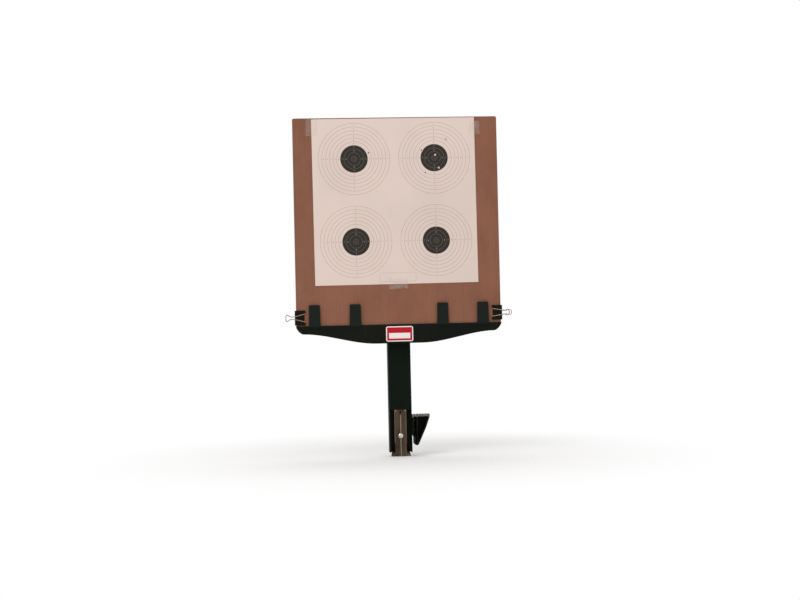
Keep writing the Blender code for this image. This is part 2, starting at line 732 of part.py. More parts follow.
def make_post(empty):
    half = POST_WIDTH / 2
    inner = POST_INNER_HALF
    outline = rounded_rectangle(
        -half,
        half,
        POST_FRONT,
        POST_BACK,
        (POST_CORNER_RADIUS, POST_CORNER_RADIUS, POST_BACK_RADIUS, POST_BACK_RADIUS),
    )
    post = new_object("post", standing_plate("post", outline, POST_BOTTOM, POST_TOP), PARTS, GREEN_PLASTIC)
    silhouette = rounded_rectangle(
        -half - CUT_PAST,
        half + CUT_PAST,
        POST_BOTTOM - CUT_PAST,
        POST_TOP,
        (0, 0, POST_TOP_RADIUS + CUT_PAST, POST_TOP_RADIUS + CUT_PAST),
    )
    combine(
        post,
        facing_plate("post_silhouette", silhouette, POST_FRONT - CUT_PAST, POST_BACK + CUT_PAST),
        "INTERSECT",
    )
    below = POST_BOTTOM - CUT_PAST
    cavity_top = POST_TOP - POST_ROOF
    cut(post, box_mesh("stake_cavity", (-inner, inner), (SKIN_BACK, FLOOR_FRONT), (below, cavity_top)))
    window = (POST_FRONT - CUT_PAST, SKIN_BACK + POST_SKIN / 2)
    cut(post, box_mesh("stake_window", (-inner, inner), window, (below, POST_SKIN_BOTTOM)))
    depth = (FLOOR_BACK, POST_BACK + CUT_PAST)
    pockets = [box_mesh("post_pocket", (-inner, inner), depth, heights) for heights in post_pockets()]
    cut(post, gather("post_pockets", pockets))
    boss_front = SKIN_BACK - POST_SKIN / 2
    boss_rear = FLOOR_FRONT + POST_FLOOR / 2
    boss_ends = ((0, boss_front, PIVOT_HEIGHT), (0, boss_rear, PIVOT_HEIGHT))
    join(post, rod_mesh("pivot_boss", POST_BOSS_DIAMETER, *boss_ends))
    bore_ends = ((0, POST_FRONT - CUT_PAST, PIVOT_HEIGHT), (0, FLOOR_BACK + CUT_PAST, PIVOT_HEIGHT))
    cut(post, rod_mesh("pivot_bore", 2 * SHANK_HOLE_RADIUS, *bore_ends))
    radius = SHANK_HOLE_RADIUS
    slot = rounded_rectangle(
        -radius,
        radius,
        STAKE_BOLT_HEIGHT - radius,
        STAKE_BOLT_HEIGHT + POST_TRAVEL + radius,
        (radius - 0.01 * MM,) * 4,
    )
    slot_depth = (FLOOR_FRONT - CUT_PAST, FLOOR_BACK + CUT_PAST)
    cut(post, facing_plate("bolt_slot", slot, *slot_depth))
    holes = []
    for height in pedal_screw_heights():
        ends = ((inner - CUT_PAST, PEDAL_SCREW_Y, height), (half + CUT_PAST, PEDAL_SCREW_Y, height))
        holes.append(rod_mesh("post_screw_hole", PEDAL_SCREW_DIAMETER + 2 * SEAT_GAP, *ends, 16))
    cut(post, gather("post_screw_holes", holes))
    hang(post, empty)


# Pedal

PEDAL_INNER = POST_WIDTH / 2 + SEAT_GAP
PEDAL_OUTER = PEDAL_INNER + PEDAL_REACH
PEDAL_BOTTOM = PEDAL_TOP - PEDAL_HEIGHT
PEDAL_SCREW_Y = (FLOOR_BACK + POST_BACK - PEDAL_BACK) / 2


def pedal_screw_heights():
    return [PEDAL_TOP - drop for drop in PEDAL_SCREW_DROPS]


def pedal_outline(with_ridges):
    """The pedal from the front, anticlockwise: a wedge with a ridged tread and a round tail."""
    tail_radius = PEDAL_TAIL_WIDTH / 2
    tail_left = PEDAL_INNER + PEDAL_TAIL_GAP
    tail_centre = (tail_left + tail_radius, PEDAL_BOTTOM + tail_radius)
    points = [
        (PEDAL_INNER, PEDAL_TOP),
        (PEDAL_INNER, PEDAL_SEAT_HEIGHT + PEDAL_STEP_LENGTH / 2),
        (tail_left, PEDAL_SEAT_HEIGHT - PEDAL_STEP_LENGTH / 2),
    ]
    points += arc(tail_centre, tail_radius, 180, 335, 7)
    points += [
        (PEDAL_INNER + PEDAL_BULGE_REACH, PEDAL_TOP - PEDAL_BULGE_DROP),
        (PEDAL_OUTER, PEDAL_TOP - PEDAL_SHOULDER),
        (PEDAL_OUTER, PEDAL_TOP),
    ]
    if not with_ridges:
        return points
    pitch = (PEDAL_REACH - TREAD_RIDGE_WIDTH) / (TREAD_RIDGE_COUNT - 1)
    for index in range(TREAD_RIDGE_COUNT):
        right = PEDAL_OUTER - pitch * index
        left = right - TREAD_RIDGE_WIDTH
        if index:
            points.append((right, PEDAL_TOP))
        points.append((right, PEDAL_TOP + TREAD_RIDGE_HEIGHT))
        points.append((left, PEDAL_TOP + TREAD_RIDGE_HEIGHT))
        if index < TREAD_RIDGE_COUNT - 1:
            points.append((left, PEDAL_TOP))
    return points[1:]


def make_pedal(empty):
    mesh = facing_plate("pedal", pedal_outline(True), POST_FRONT, POST_BACK)
    pedal = new_object("pedal", mesh, PARTS, GREEN_PLASTIC)
    hollow = inset(pedal_outline(False), PEDAL_WALL)
    pocket_back = POST_BACK - PEDAL_BACK
    cut(pedal, facing_plate("pedal_hollow", hollow, POST_FRONT - CUT_PAST, pocket_back))
    rib_left = PEDAL_INNER + PEDAL_RIB_FROM_POST
    rib_front = POST_FRONT + PEDAL_WALL / 2
    rib = box_mesh(
        "pedal_rib",
        (rib_left, rib_left + PEDAL_RIB),
        (rib_front, pocket_back + PEDAL_BACK / 2),
        (PEDAL_BOTTOM + PEDAL_WALL / 2, PEDAL_TOP - PEDAL_WALL / 2),
    )
    join(pedal, rib)
    holes = []
    access_holes = []
    hole_end = (PEDAL_INNER + PEDAL_WALL + rib_left) / 2
    for height in pedal_screw_heights():
        ends = ((POST_WIDTH / 2, PEDAL_SCREW_Y, height), (hole_end, PEDAL_SCREW_Y, height))
        holes.append(rod_mesh("pedal_screw_hole", PEDAL_SCREW_DIAMETER + 2 * SEAT_GAP, *ends, 16))
        ends = ((hole_end, PEDAL_SCREW_Y, height), (PEDAL_OUTER + CUT_PAST, PEDAL_SCREW_Y, height))
        access_holes.append(rod_mesh("pedal_access_hole", PEDAL_ACCESS_DIAMETER, *ends))
    cut(pedal, gather("pedal_screw_holes", holes))
    cut(pedal, gather("pedal_access_holes", access_holes))
    hang(pedal, empty)


def make_pedal_screw(name, height, empty):
    """A pan head screw along X, from inside the pedal through the post's side wall."""
    seat = PEDAL_INNER + PEDAL_WALL + SEAT_GAP
    end = seat - (POST_INNER_HALF - PEDAL_SCREW_PAST_WALL)
    radius = PEDAL_SCREW_DIAMETER / 2
    head = PEDAL_SCREW_HEAD / 2
    profile = [
        (0.0, end),
        (PEDAL_SCREW_TIP / 2, end),
        (radius, end - PEDAL_SCREW_POINT),
        (radius, 0.0),
        (head, 0.0),
        (head, -PEDAL_SCREW_HEAD_EDGE),
        (PEDAL_SCREW_HEAD_FLAT / 2, -PEDAL_SCREW_HEAD_HEIGHT),
        (0.0, -PEDAL_SCREW_HEAD_HEIGHT),
    ]
    place = Matrix.Translation((seat, PEDAL_SCREW_Y, height)) @ Matrix.Rotation(math.radians(-90.0), 4, "Y")
    mesh = turned_mesh(name, profile, place, 16)
    hang(new_object(name, mesh, PARTS, ZINC), empty)


# Crosspiece


def cross_drop(across):
    """How far the crosspiece reaches below its lip at a distance from the middle, before its corner."""
    share = smooth_step(abs(across), CROSS_BELLY_HALF, CROSS_HALF - CROSS_CORNER_WIDTH)
    return CROSS_MIDDLE_HEIGHT + (CROSS_END_HEIGHT - CROSS_MIDDLE_HEIGHT) * share


def cross_outline():
    """The crosspiece from the front, anticlockwise from its right end round the belly to the left end."""
    corner_start = CROSS_HALF - CROSS_CORNER_WIDTH
    power = CROSS_CORNER_SQUARENESS
    corner_steps = 7
    right = [(CROSS_HALF, LIP_HEIGHT)]
    for step in range(1, corner_steps):
        drop = CROSS_END_HEIGHT * math.sin(math.radians(90.0) * step / corner_steps)
        reach = (1 - (drop / CROSS_END_HEIGHT) ** power) ** (1 / power)
        right.append((corner_start + CROSS_CORNER_WIDTH * reach, LIP_HEIGHT - drop))
    haunch_steps = 14
    for step in range(haunch_steps + 1):
        across = corner_start + (CROSS_BELLY_HALF - corner_start) * step / haunch_steps
        right.append((across, LIP_HEIGHT - cross_drop(across)))
    left = [(-across, height) for across, height in reversed(right)]
    return right + left


def finger_outline(middle, bottom, foot_width):
    """A finger from the front, a little narrower at its top, with cut upper corners."""
    top = LIP_HEIGHT + FINGER_RISE
    half = FINGER_TOP_WIDTH / 2
    foot = foot_width / 2
    return [
        (middle - foot, bottom),
        (middle + foot, bottom),
        (middle + half, top - FINGER_CORNER),
        (middle + half - FINGER_CORNER, top),
        (middle - half + FINGER_CORNER, top),
        (middle - half, top - FINGER_CORNER),
    ]


def cross_ribs():
    """The middles of the ribs in the crosspiece's back, on both sides of the pivot's boss."""
    room = CROSS_HALF - CROSS_CORNER_WIDTH
    count = int(room / CROSS_RIB_PITCH)
    return [CROSS_RIB_PITCH * index for index in range(-count, count + 1) if index]


def pocket_outline(left, right, top, draft):
    """A back pocket from the front: its floor follows the belly a wall's thickness above it."""
    steps = 4
    left += draft
    right -= draft
    floor = []
    for step in range(steps + 1):
        across = left + (right - left) * step / steps
        floor.append((across, LIP_HEIGHT - cross_drop(across) + CROSS_WALL + draft))
    return floor + [(right, top), (left, top)]


def cut_back_pockets(cross):
    """Hollows the crosspiece from behind: up to the groove's rear wall, and below the groove to the front."""
    room = CROSS_HALF - CROSS_CORNER_WIDTH
    edges = [-room]
    for middle in cross_ribs():
        edges += [middle - CROSS_RIB / 2, middle + CROSS_RIB / 2]
    edges.append(room)
    rear_depth = (SLOT_WALL_BACK, CROSS_REAR + CUT_PAST)
    deep_depth = (SLOT_FRONT, SLOT_WALL_BACK + CUT_PAST)
    rear_pockets = []
    deep_pockets = []
    for left, right in zip(edges[::2], edges[1::2]):
        outer = pocket_outline(left, right, LIP_HEIGHT - CROSS_WALL, 0.0)
        rear_pockets.append(facing_plate("rear_pocket", outer, *rear_depth))
        height = min(cross_drop(left), cross_drop(right)) - SLOT_DEPTH - 2 * CROSS_WALL
        if height > CROSS_POCKET_HEIGHT:
            inner = pocket_outline(left, right, SLOT_FLOOR - CROSS_WALL, CROSS_POCKET_DRAFT)
            deep_pockets.append(facing_plate("deep_pocket", inner, *deep_depth))
    cut(cross, gather("rear_pockets", rear_pockets))
    if deep_pockets:
        cut(cross, gather("deep_pockets", deep_pockets), "MANIFOLD")


def make_gusset(middle):
    """The rib that braces an inner rear finger. The outer ones have none, so that a handle can swing."""
    front = SLOT_WALL_BACK - CROSS_WALL / 2
    rear = CROSS_REAR - CROSS_WALL
    foot = LIP_HEIGHT - CROSS_WALL / 2
    outline = [
        (front, foot),
        (rear, foot),
        (rear, LIP_HEIGHT + GUSSET_FOOT),
        (front, LIP_HEIGHT + GUSSET_HEIGHT),
    ]
    return side_plate("gusset", outline, middle - CROSS_RIB / 2, middle + CROSS_RIB / 2)


def make_ear(side):
    """The plain ear behind an end of the board, which its clip grips together with the board."""
    outer = CROSS_HALF - EAR_INSET
    foot = SLOT_FLOOR - CROSS_WALL / 2
    top = LIP_HEIGHT + EAR_RISE
    outline = rounded_rectangle(outer - EAR_WIDTH, outer, foot, top, (0, 0, EAR_CORNER, FINGER_CORNER))
    if side < 0:
        outline = [(-across, height) for across, height in reversed(outline)]
    return facing_plate("ear", outline, SLOT_BACK - GROOVE_CUT, SLOT_WALL_BACK)


def join_fingers(cross):
    """The fingers and ears that hold the board. They start past the groove's faces, which then cut them."""
    middles = (-FINGER_OUTER, -FINGER_INNER, FINGER_INNER, FINGER_OUTER)
    front_fingers = []
    rear_fingers = [make_ear(-1), make_ear(1)]
    for middle in middles:
        front = finger_outline(middle, LIP_HEIGHT - FINGER_DROP, FINGER_FOOT_WIDTH)
        front_fingers.append(facing_plate("front_finger", front, FINGER_FRONT, SLOT_FRONT + GROOVE_CUT))
        rear = finger_outline(middle, SLOT_FLOOR - CROSS_WALL / 2, FINGER_TOP_WIDTH)
        rear_fingers.append(facing_plate("rear_finger", rear, SLOT_BACK - GROOVE_CUT, SLOT_WALL_BACK))
    join(cross, gather("front_fingers", front_fingers))
    join(cross, gather("rear_fingers", rear_fingers))
    join(cross, gather("gussets", [make_gusset(middle) for middle in (-FINGER_INNER, FINGER_INNER)]))


def make_crosspiece(empty):
    mesh = facing_plate("crosspiece", cross_outline(), CROSS_FRONT, CROSS_REAR)
    cross = new_object("crosspiece", mesh, PARTS, GREEN_PLASTIC)
    join_fingers(cross)
    reach = CROSS_HALF + CUT_PAST
    groove_top = LIP_HEIGHT + max(FINGER_RISE, EAR_RISE) + CUT_PAST
    cut(cross, box_mesh("board_groove", (-reach, reach), (SLOT_FRONT, SLOT_BACK), (SLOT_FLOOR, groove_top)))
    cut_back_pockets(cross)
    boss_ends = ((0, SLOT_FRONT - CROSS_WALL / 2, PIVOT_HEIGHT), (0, CROSS_REAR, PIVOT_HEIGHT))
    join(cross, rod_mesh("cross_boss", CROSS_BOSS_DIAMETER, *boss_ends, 32))
    past_rear = CROSS_REAR - CROSS_FRONT + CUT_PAST
    bore = [
        (0.0, past_rear),
        (SHANK_HOLE_RADIUS, past_rear),
        (SHANK_HOLE_RADIUS, HEAD_RECESS_DEPTH),
        (HEAD_RECESS_DIAMETER / 2, HEAD_RECESS_DEPTH),
        (HEAD_RECESS_DIAMETER / 2, -CUT_PAST),
        (0.0, -CUT_PAST),
    ]
    cut(cross, turned_mesh("cross_bore", bore, facing_back(PIVOT_HEIGHT, CROSS_FRONT)))
    hang(cross, empty)


# Board, sheet, tapes and label


def make_board(empty):
    half = BOARD_WIDTH / 2
    corner = BOARD_CORNER_CUT
    left_top = BOARD_TOP - BOARD_TOP_SLANT
    outline = [
        (-half, BOARD_BOTTOM),
        (half, BOARD_BOTTOM),
        (half, BOARD_TOP - corner),
        (half - corner, BOARD_TOP),
        (-half + corner, left_top),
        (-half, left_top - corner),
    ]
    mesh = facing_plate("backer_board", outline, BOARD_FRONT, BOARD_BACK)
    hang(new_object("backer_board", mesh, PARTS, CARDBOARD), empty)


def make_sheet(empty):
    mesh = box_mesh(
        "score_sheet",
        (SHEET_LEFT, SHEET_RIGHT),
        (SHEET_FRONT, SHEET_BACK),
        (SHEET_BOTTOM, SHEET_TOP),
    )
    middle = Vector(((SHEET_LEFT + SHEET_RIGHT) / 2, 0, (SHEET_TOP + SHEET_BOTTOM) / 2))
    turn = Matrix.Rotation(-SHEET_TURN, 4, "Y")
    mesh.transform(Matrix.Translation(middle) @ turn @ Matrix.Translation(-middle))
    hang(new_object("score_sheet", mesh, PARTS, PAPER), empty)


def tape_profile(edge, outward, on_board):
    """A tape in section: low on the board, then up a short slope, then over the sheet's edge."""
    low_front = BOARD_FRONT - SEAT_GAP - TAPE_THICKNESS
    high_front = SHEET_FRONT - SEAT_GAP - TAPE_THICKNESS
    clear = edge + outward * (SEAT_GAP + sheet_edge_play())
    stations = (
        (edge + outward * on_board, low_front),
        (clear + outward * TAPE_STEP_LENGTH, low_front),
        (clear, high_front),
        (edge - outward * TAPE_ON_SHEET, high_front),
    )
    back = [(across, front + TAPE_THICKNESS) for across, front in reversed(stations)]
    return list(stations) + back


def sheet_edge_play():
    """How far an edge of the sheet moves at its corners, because the sheet is taped on a little turned."""
    return max(SHEET_WIDTH, SHEET_HEIGHT) / 2 * math.sin(abs(SHEET_TURN))


def make_tapes(empty):
    left_top = SHEET_TOP - LEFT_TAPE_BELOW_SHEET_TOP
    left = standing_plate(
        "tape_left",
        tape_profile(SHEET_LEFT, -1, LEFT_TAPE_ON_BOARD),
        left_top - LEFT_TAPE_LENGTH,
        left_top,
    )
    right_top = SHEET_TOP - RIGHT_TAPE_BELOW_SHEET_TOP
    right = standing_plate(
        "tape_right",
        tape_profile(SHEET_RIGHT, 1, RIGHT_TAPE_ON_BOARD),
        right_top - RIGHT_TAPE_LENGTH,
        right_top,
    )
    bottom_profile = tape_profile(SHEET_BOTTOM, -1, BOTTOM_TAPE_ON_BOARD)
    bottom = side_plate(
        "tape_bottom",
        [(front, height) for height, front in bottom_profile],
        BOTTOM_TAPE_OFFSET - BOTTOM_TAPE_LENGTH / 2,
        BOTTOM_TAPE_OFFSET + BOTTOM_TAPE_LENGTH / 2,
    )
    for mesh in (left, right, bottom):
        hang(new_object(mesh.name, mesh, PARTS, TAPE), empty)


def make_label(empty):
    top = LIP_HEIGHT - LABEL_BELOW_LIP
    outline = rounded_rectangle(
        -LABEL_WIDTH / 2,
        LABEL_WIDTH / 2,
        top - LABEL_HEIGHT,
        top,
        (LABEL_CORNER,) * 4,
    )
    back = CROSS_FRONT - SEAT_GAP
    mesh = facing_plate("label_plate", outline, back - LABEL_THICKNESS, back)
    hang(new_object("label_plate", mesh, PARTS, LABEL), empty)


# Binder clips


def clip_line(side):
    """The middle of the clip's sheet from above, from the front jaw round the spine to the rear jaw."""
    jaw = (JAW_BACK - JAW_FRONT) / 2 + CLIP_SHEET / 2
    spine = CLIP_SPINE_WIDTH / 2 - CLIP_SHEET / 2
    outer = CLIP_SPINE - CLIP_SHEET / 2
    radius = CLIP_SPINE_RADIUS
    flat = CLIP_ROLL_DIAMETER / 3
    back_half = [(ROLL_X, jaw), (ROLL_X + flat, jaw)]
    back_half += reversed(arc((outer - radius, spine - radius), radius, 0, 100, 4))
    front_half = [(x, -y) for x, y in back_half]
    line = front_half + back_half[::-1]
    return [(side * x, CLIP_MIDDLE + y) for x, y in line]


def make_clip_body(name, side, bottom, empty):
    """A spring steel body: a folded sheet, and at each jaw two rolled tubes that hold a handle's ends."""
    mesh = bpy.data.meshes.new(name)
    work = bmesh.new()
    low = [work.verts.new((x, y, bottom)) for x, y in clip_line(side)]
    edges = [work.edges.new(pair) for pair in zip(low, low[1:])]
    lifted = bmesh.ops.extrude_edge_only(work, edges=edges)
    raised = [item for item in lifted["geom"] if isinstance(item, bmesh.types.BMVert)]
    bmesh.ops.translate(work, vec=(0, 0, CLIP_WIDTH), verts=raised)
    work.to_mesh(mesh)
    work.free()
    body = new_object(name, mesh, PARTS, BLACK_STEEL)
    shell = body.modifiers.new("sheet", "SOLIDIFY")
    shell.thickness = CLIP_SHEET
    shell.offset = 0.0
    roll = CLIP_ROLL_DIAMETER / 2
    bore = HANDLE_WIRE / 2 + WIRE_CLEARANCE
    tube = [(roll, CLIP_ROLL_LENGTH), (roll, 0.0), (bore, 0.0), (bore, CLIP_ROLL_LENGTH)]
    rolls = []
    for depth in (-1, 1):
        for start in (bottom, bottom + CLIP_WIDTH - CLIP_ROLL_LENGTH):
            where = Matrix.Translation((side * ROLL_X, CLIP_MIDDLE + depth * ROLL_OFFSET, start))
            rolls.append(turned_mesh("roll", tube, where, 12))
    join(body, gather(f"{name}_rolls", rolls))
    hang(body, empty)


def handle_line():
    """Half of a handle's wire in its own plane, from its end in the roll to the middle of its loop."""
    end = CLIP_WIDTH / 2 - HANDLE_END_INSET
    arm = HANDLE_ARM_SPREAD / 2
    loop = HANDLE_LOOP_DIAMETER / 2 - HANDLE_WIRE / 2
    neck = HANDLE_NECK / 2
    loop_centre = HANDLE_LENGTH - HANDLE_LOOP_DIAMETER / 2
    opening = math.degrees(math.asin(neck / loop))
    line = [(0.0, end)]
    line += [(HANDLE_BEND + x, arm + HANDLE_BEND + y) for x, y in arc((0, 0), HANDLE_BEND, 180, 270, 2)]
    neck_start = loop_centre - loop * math.cos(math.radians(opening))
    line += [(neck_start - HANDLE_NECK_RUN, neck + HANDLE_NECK_SPREAD / 2)]
    line += arc((loop_centre, 0.0), loop, 180 - opening, 0, 9)
    return line


def make_handle(name, side, depth, empty):
    """A wire handle that lies back along the clip's side and past its spine."""
    half = handle_line()
    outline = half + [(along, -up) for along, up in reversed(half[:-1])]
    points = []
    for along, up in outline:
        x = side * along * math.cos(HANDLE_LEAN)
        y = depth * along * math.sin(HANDLE_LEAN)
        points.append((x, y, up))
    handle = wire_object(name, points, HANDLE_WIRE, WIRE_STEEL)
    handle.parent = empty


def make_clip(name, side, above_lip, carrier):
    bottom = LIP_HEIGHT + above_lip
    middle = bottom + CLIP_WIDTH / 2
    make_clip_body(f"{name}_body", side, bottom, carrier)
    for place, depth in (("front", -1), ("rear", 1)):
        hinge_place = (side * ROLL_X, CLIP_MIDDLE + depth * ROLL_OFFSET, middle)
        hinge = joint_empty(f"{name}_{place}_hinge", hinge_place, carrier)
        make_handle(f"{name}_{place}_handle", side, depth, hinge)


def main():
    ground = joint_empty("ground_line", (0, 0, 0))
    column = joint_empty("post_slide", (0, 0, 0), ground)
    pivot = joint_empty("crosspiece_pivot", (0, CROSS_REAR, PIVOT_HEIGHT), column)
    board_slide = joint_empty("board_slide", (0, BOARD_BACK, SLOT_FLOOR), pivot)
    stake_nut = joint_empty("stake_nut_axis", (0, NUT_FOOT, STAKE_BOLT_HEIGHT), ground)
    pivot_nut = joint_empty("pivot_nut_axis", (0, NUT_FOOT, PIVOT_HEIGHT), pivot)

    make_stake(ground)
    make_bolt("stake_bolt", STAKE_BOLT_HEIGHT, STAKE_FRONT - SEAT_GAP, ground)
    washer_front = FLOOR_BACK + SEAT_GAP
    washer = (WASHER_THICKNESS, WASHER_DIAMETER)
    make_washer("stake_washer", STAKE_BOLT_HEIGHT, washer_front, *washer, ground)
    make_wing_nut("stake_wing_nut", STAKE_BOLT_HEIGHT, NUT_FOOT, stake_nut)

    make_post(column)
    make_pedal(column)
    for name, height in zip(("pedal_screw_upper", "pedal_screw_lower"), pedal_screw_heights()):
        make_pedal_screw(name, height, column)
    spacer_front = CROSS_REAR + SEAT_GAP
    spacer = (PIVOT_SPACER_THICKNESS, PIVOT_SPACER_DIAMETER)
    make_washer("pivot_washer_front", PIVOT_HEIGHT, spacer_front, *spacer, column)
    make_washer("pivot_washer_rear", PIVOT_HEIGHT, washer_front, *washer, column)

    make_crosspiece(pivot)
    head_seat = CROSS_FRONT + HEAD_RECESS_DEPTH - SEAT_GAP
    make_bolt("pivot_bolt", PIVOT_HEIGHT, head_seat, pivot)
    make_wing_nut("pivot_wing_nut", PIVOT_HEIGHT, NUT_FOOT, pivot_nut)
    make_label(pivot)
    make_board(board_slide)
    make_sheet(board_slide)
    make_tapes(board_slide)
    make_clip("clip_left", -1, LEFT_CLIP_ABOVE_LIP, pivot)
    make_clip("clip_right", 1, RIGHT_CLIP_ABOVE_LIP, pivot)


main()
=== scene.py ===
"""Dresses a target stand: printed score sheet, corrugated backer, moulded plastic, pressed steel and clips.

X runs to the right along the crosspiece, Y away from the viewer and Z up, in metres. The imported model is
loaded as a fixed frame, and the pieces take the places and sizes of its nodes.
"""

import logging
import math
from collections.abc import Callable, Iterable, Sequence
from dataclasses import dataclass, field
from enum import Enum
from functools import cache
from itertools import product
from typing import Self

import bmesh
import bpy
from mathutils import Matrix, Vector, noise


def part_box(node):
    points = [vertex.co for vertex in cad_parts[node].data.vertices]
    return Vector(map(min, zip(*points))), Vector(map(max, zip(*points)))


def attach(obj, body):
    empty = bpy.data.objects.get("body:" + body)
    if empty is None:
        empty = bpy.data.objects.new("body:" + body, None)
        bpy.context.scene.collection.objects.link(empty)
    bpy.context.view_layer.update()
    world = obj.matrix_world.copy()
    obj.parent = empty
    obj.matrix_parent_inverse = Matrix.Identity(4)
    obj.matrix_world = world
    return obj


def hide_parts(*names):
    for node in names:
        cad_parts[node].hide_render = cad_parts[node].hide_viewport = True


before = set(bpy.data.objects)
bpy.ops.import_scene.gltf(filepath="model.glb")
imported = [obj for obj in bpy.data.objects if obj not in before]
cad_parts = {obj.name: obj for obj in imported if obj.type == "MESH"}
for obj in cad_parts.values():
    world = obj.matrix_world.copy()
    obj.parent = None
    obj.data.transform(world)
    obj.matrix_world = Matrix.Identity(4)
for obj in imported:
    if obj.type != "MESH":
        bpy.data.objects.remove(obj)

LOG = logging.getLogger("target_stand")
MM = 0.001
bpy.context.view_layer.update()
ALONG_Y = Vector((0.0, 1.0, 0.0))
BEVEL_SAMPLES = 6
# 1 minus the cosine by which a rounded normal turns, where an edge's lighter band starts and where it is
# full: a painted highlight on the plastic and the steel, wear on the enamel.
EDGE_TURN = (0.002, 0.12)
# A digit's height over its type size, and how much bolder it is drawn, over its height.
DIGIT_SHARE = 0.7
DIGIT_BOLD = 0.02
# A Mix node's inputs for two colours, and its output for a colour.
MIX_FIRST, MIX_SECOND, MIX_RESULT = 6, 7, 2

Point = tuple[float, float]
Line = tuple[Point, ...]
Place = tuple[float, float, float]
Colour = tuple[float, float, float]


def srgb(red: int, green: int, blue: int) -> Colour:
    """Turns a colour as it looks on a screen, in bytes, into the linear one that a shader takes."""
    def linear(byte: int) -> float:
        """One channel."""
        share = byte / 255
        return share / 12.92 if share <= 0.04045 else ((share + 0.055) / 1.055) ** 2.4
    return linear(red), linear(green), linear(blue)


def darker(colour: Colour, share: float) -> Colour:
    """The colour at a share of its light."""
    return tuple(channel * share for channel in colour)


def configure(target: object, **settings: object) -> None:
    """Sets several attributes of one thing."""
    for name, setting in settings.items():
        setattr(target, name, setting)


# Shader expressions


def arithmetic(operation: str, swapped: bool = False) -> Callable[["Signal", "Signal | float"], "Signal"]:
    """A method of Signal that adds one Math node, with self second in a reflected operator."""
    def apply(self: "Signal", other: "Signal | float") -> "Signal":
        """Adds the Math node."""
        return self.math(operation, *((other, self) if swapped else (self, other)))
    return apply


class Signal:
    """An output of a shader node. Arithmetic on it adds Math nodes to its recipe."""

    def __init__(self, recipe: "Recipe", socket: bpy.types.NodeSocket) -> None:
        """Keeps the output and the recipe that it belongs to."""
        self.recipe = recipe
        self.socket = socket

    def math(self, operation: str, *values: "Signal | float") -> "Signal":
        """Adds one Math node, whose inputs take the values in order."""
        return self.recipe.node("ShaderNodeMath", dict(enumerate(values)), operation=operation)

    __add__ = __radd__ = arithmetic("ADD")
    __sub__ = arithmetic("SUBTRACT")
    __rsub__ = arithmetic("SUBTRACT", swapped=True)
    __mul__ = __rmul__ = arithmetic("MULTIPLY")
    __pow__ = arithmetic("POWER")
    __rpow__ = arithmetic("POWER", swapped=True)
    __lt__ = arithmetic("LESS_THAN")
    __gt__ = arithmetic("GREATER_THAN")
    # The larger of two masks.
    either = arithmetic("MAXIMUM")
    # How far self lies past the last whole number of pitches.
    repeat = arithmetic("FLOORED_MODULO")

    def __abs__(self) -> "Signal":
        """self without its sign."""
        return self.math("ABSOLUTE", self)

    def wave(self, length: float) -> "Signal":
        """A sine of self that repeats after a length, from 0 to 1."""
        return self.math("SINE", self * (math.tau / length)) * 0.5 + 0.5


def past_box(u: Signal, v: Signal, size: Point) -> Signal:
    """How far a point lies outside a box about 0, below 0 inside it."""
    return (abs(u) - size[0] / 2).either(abs(v) - size[1] / 2)


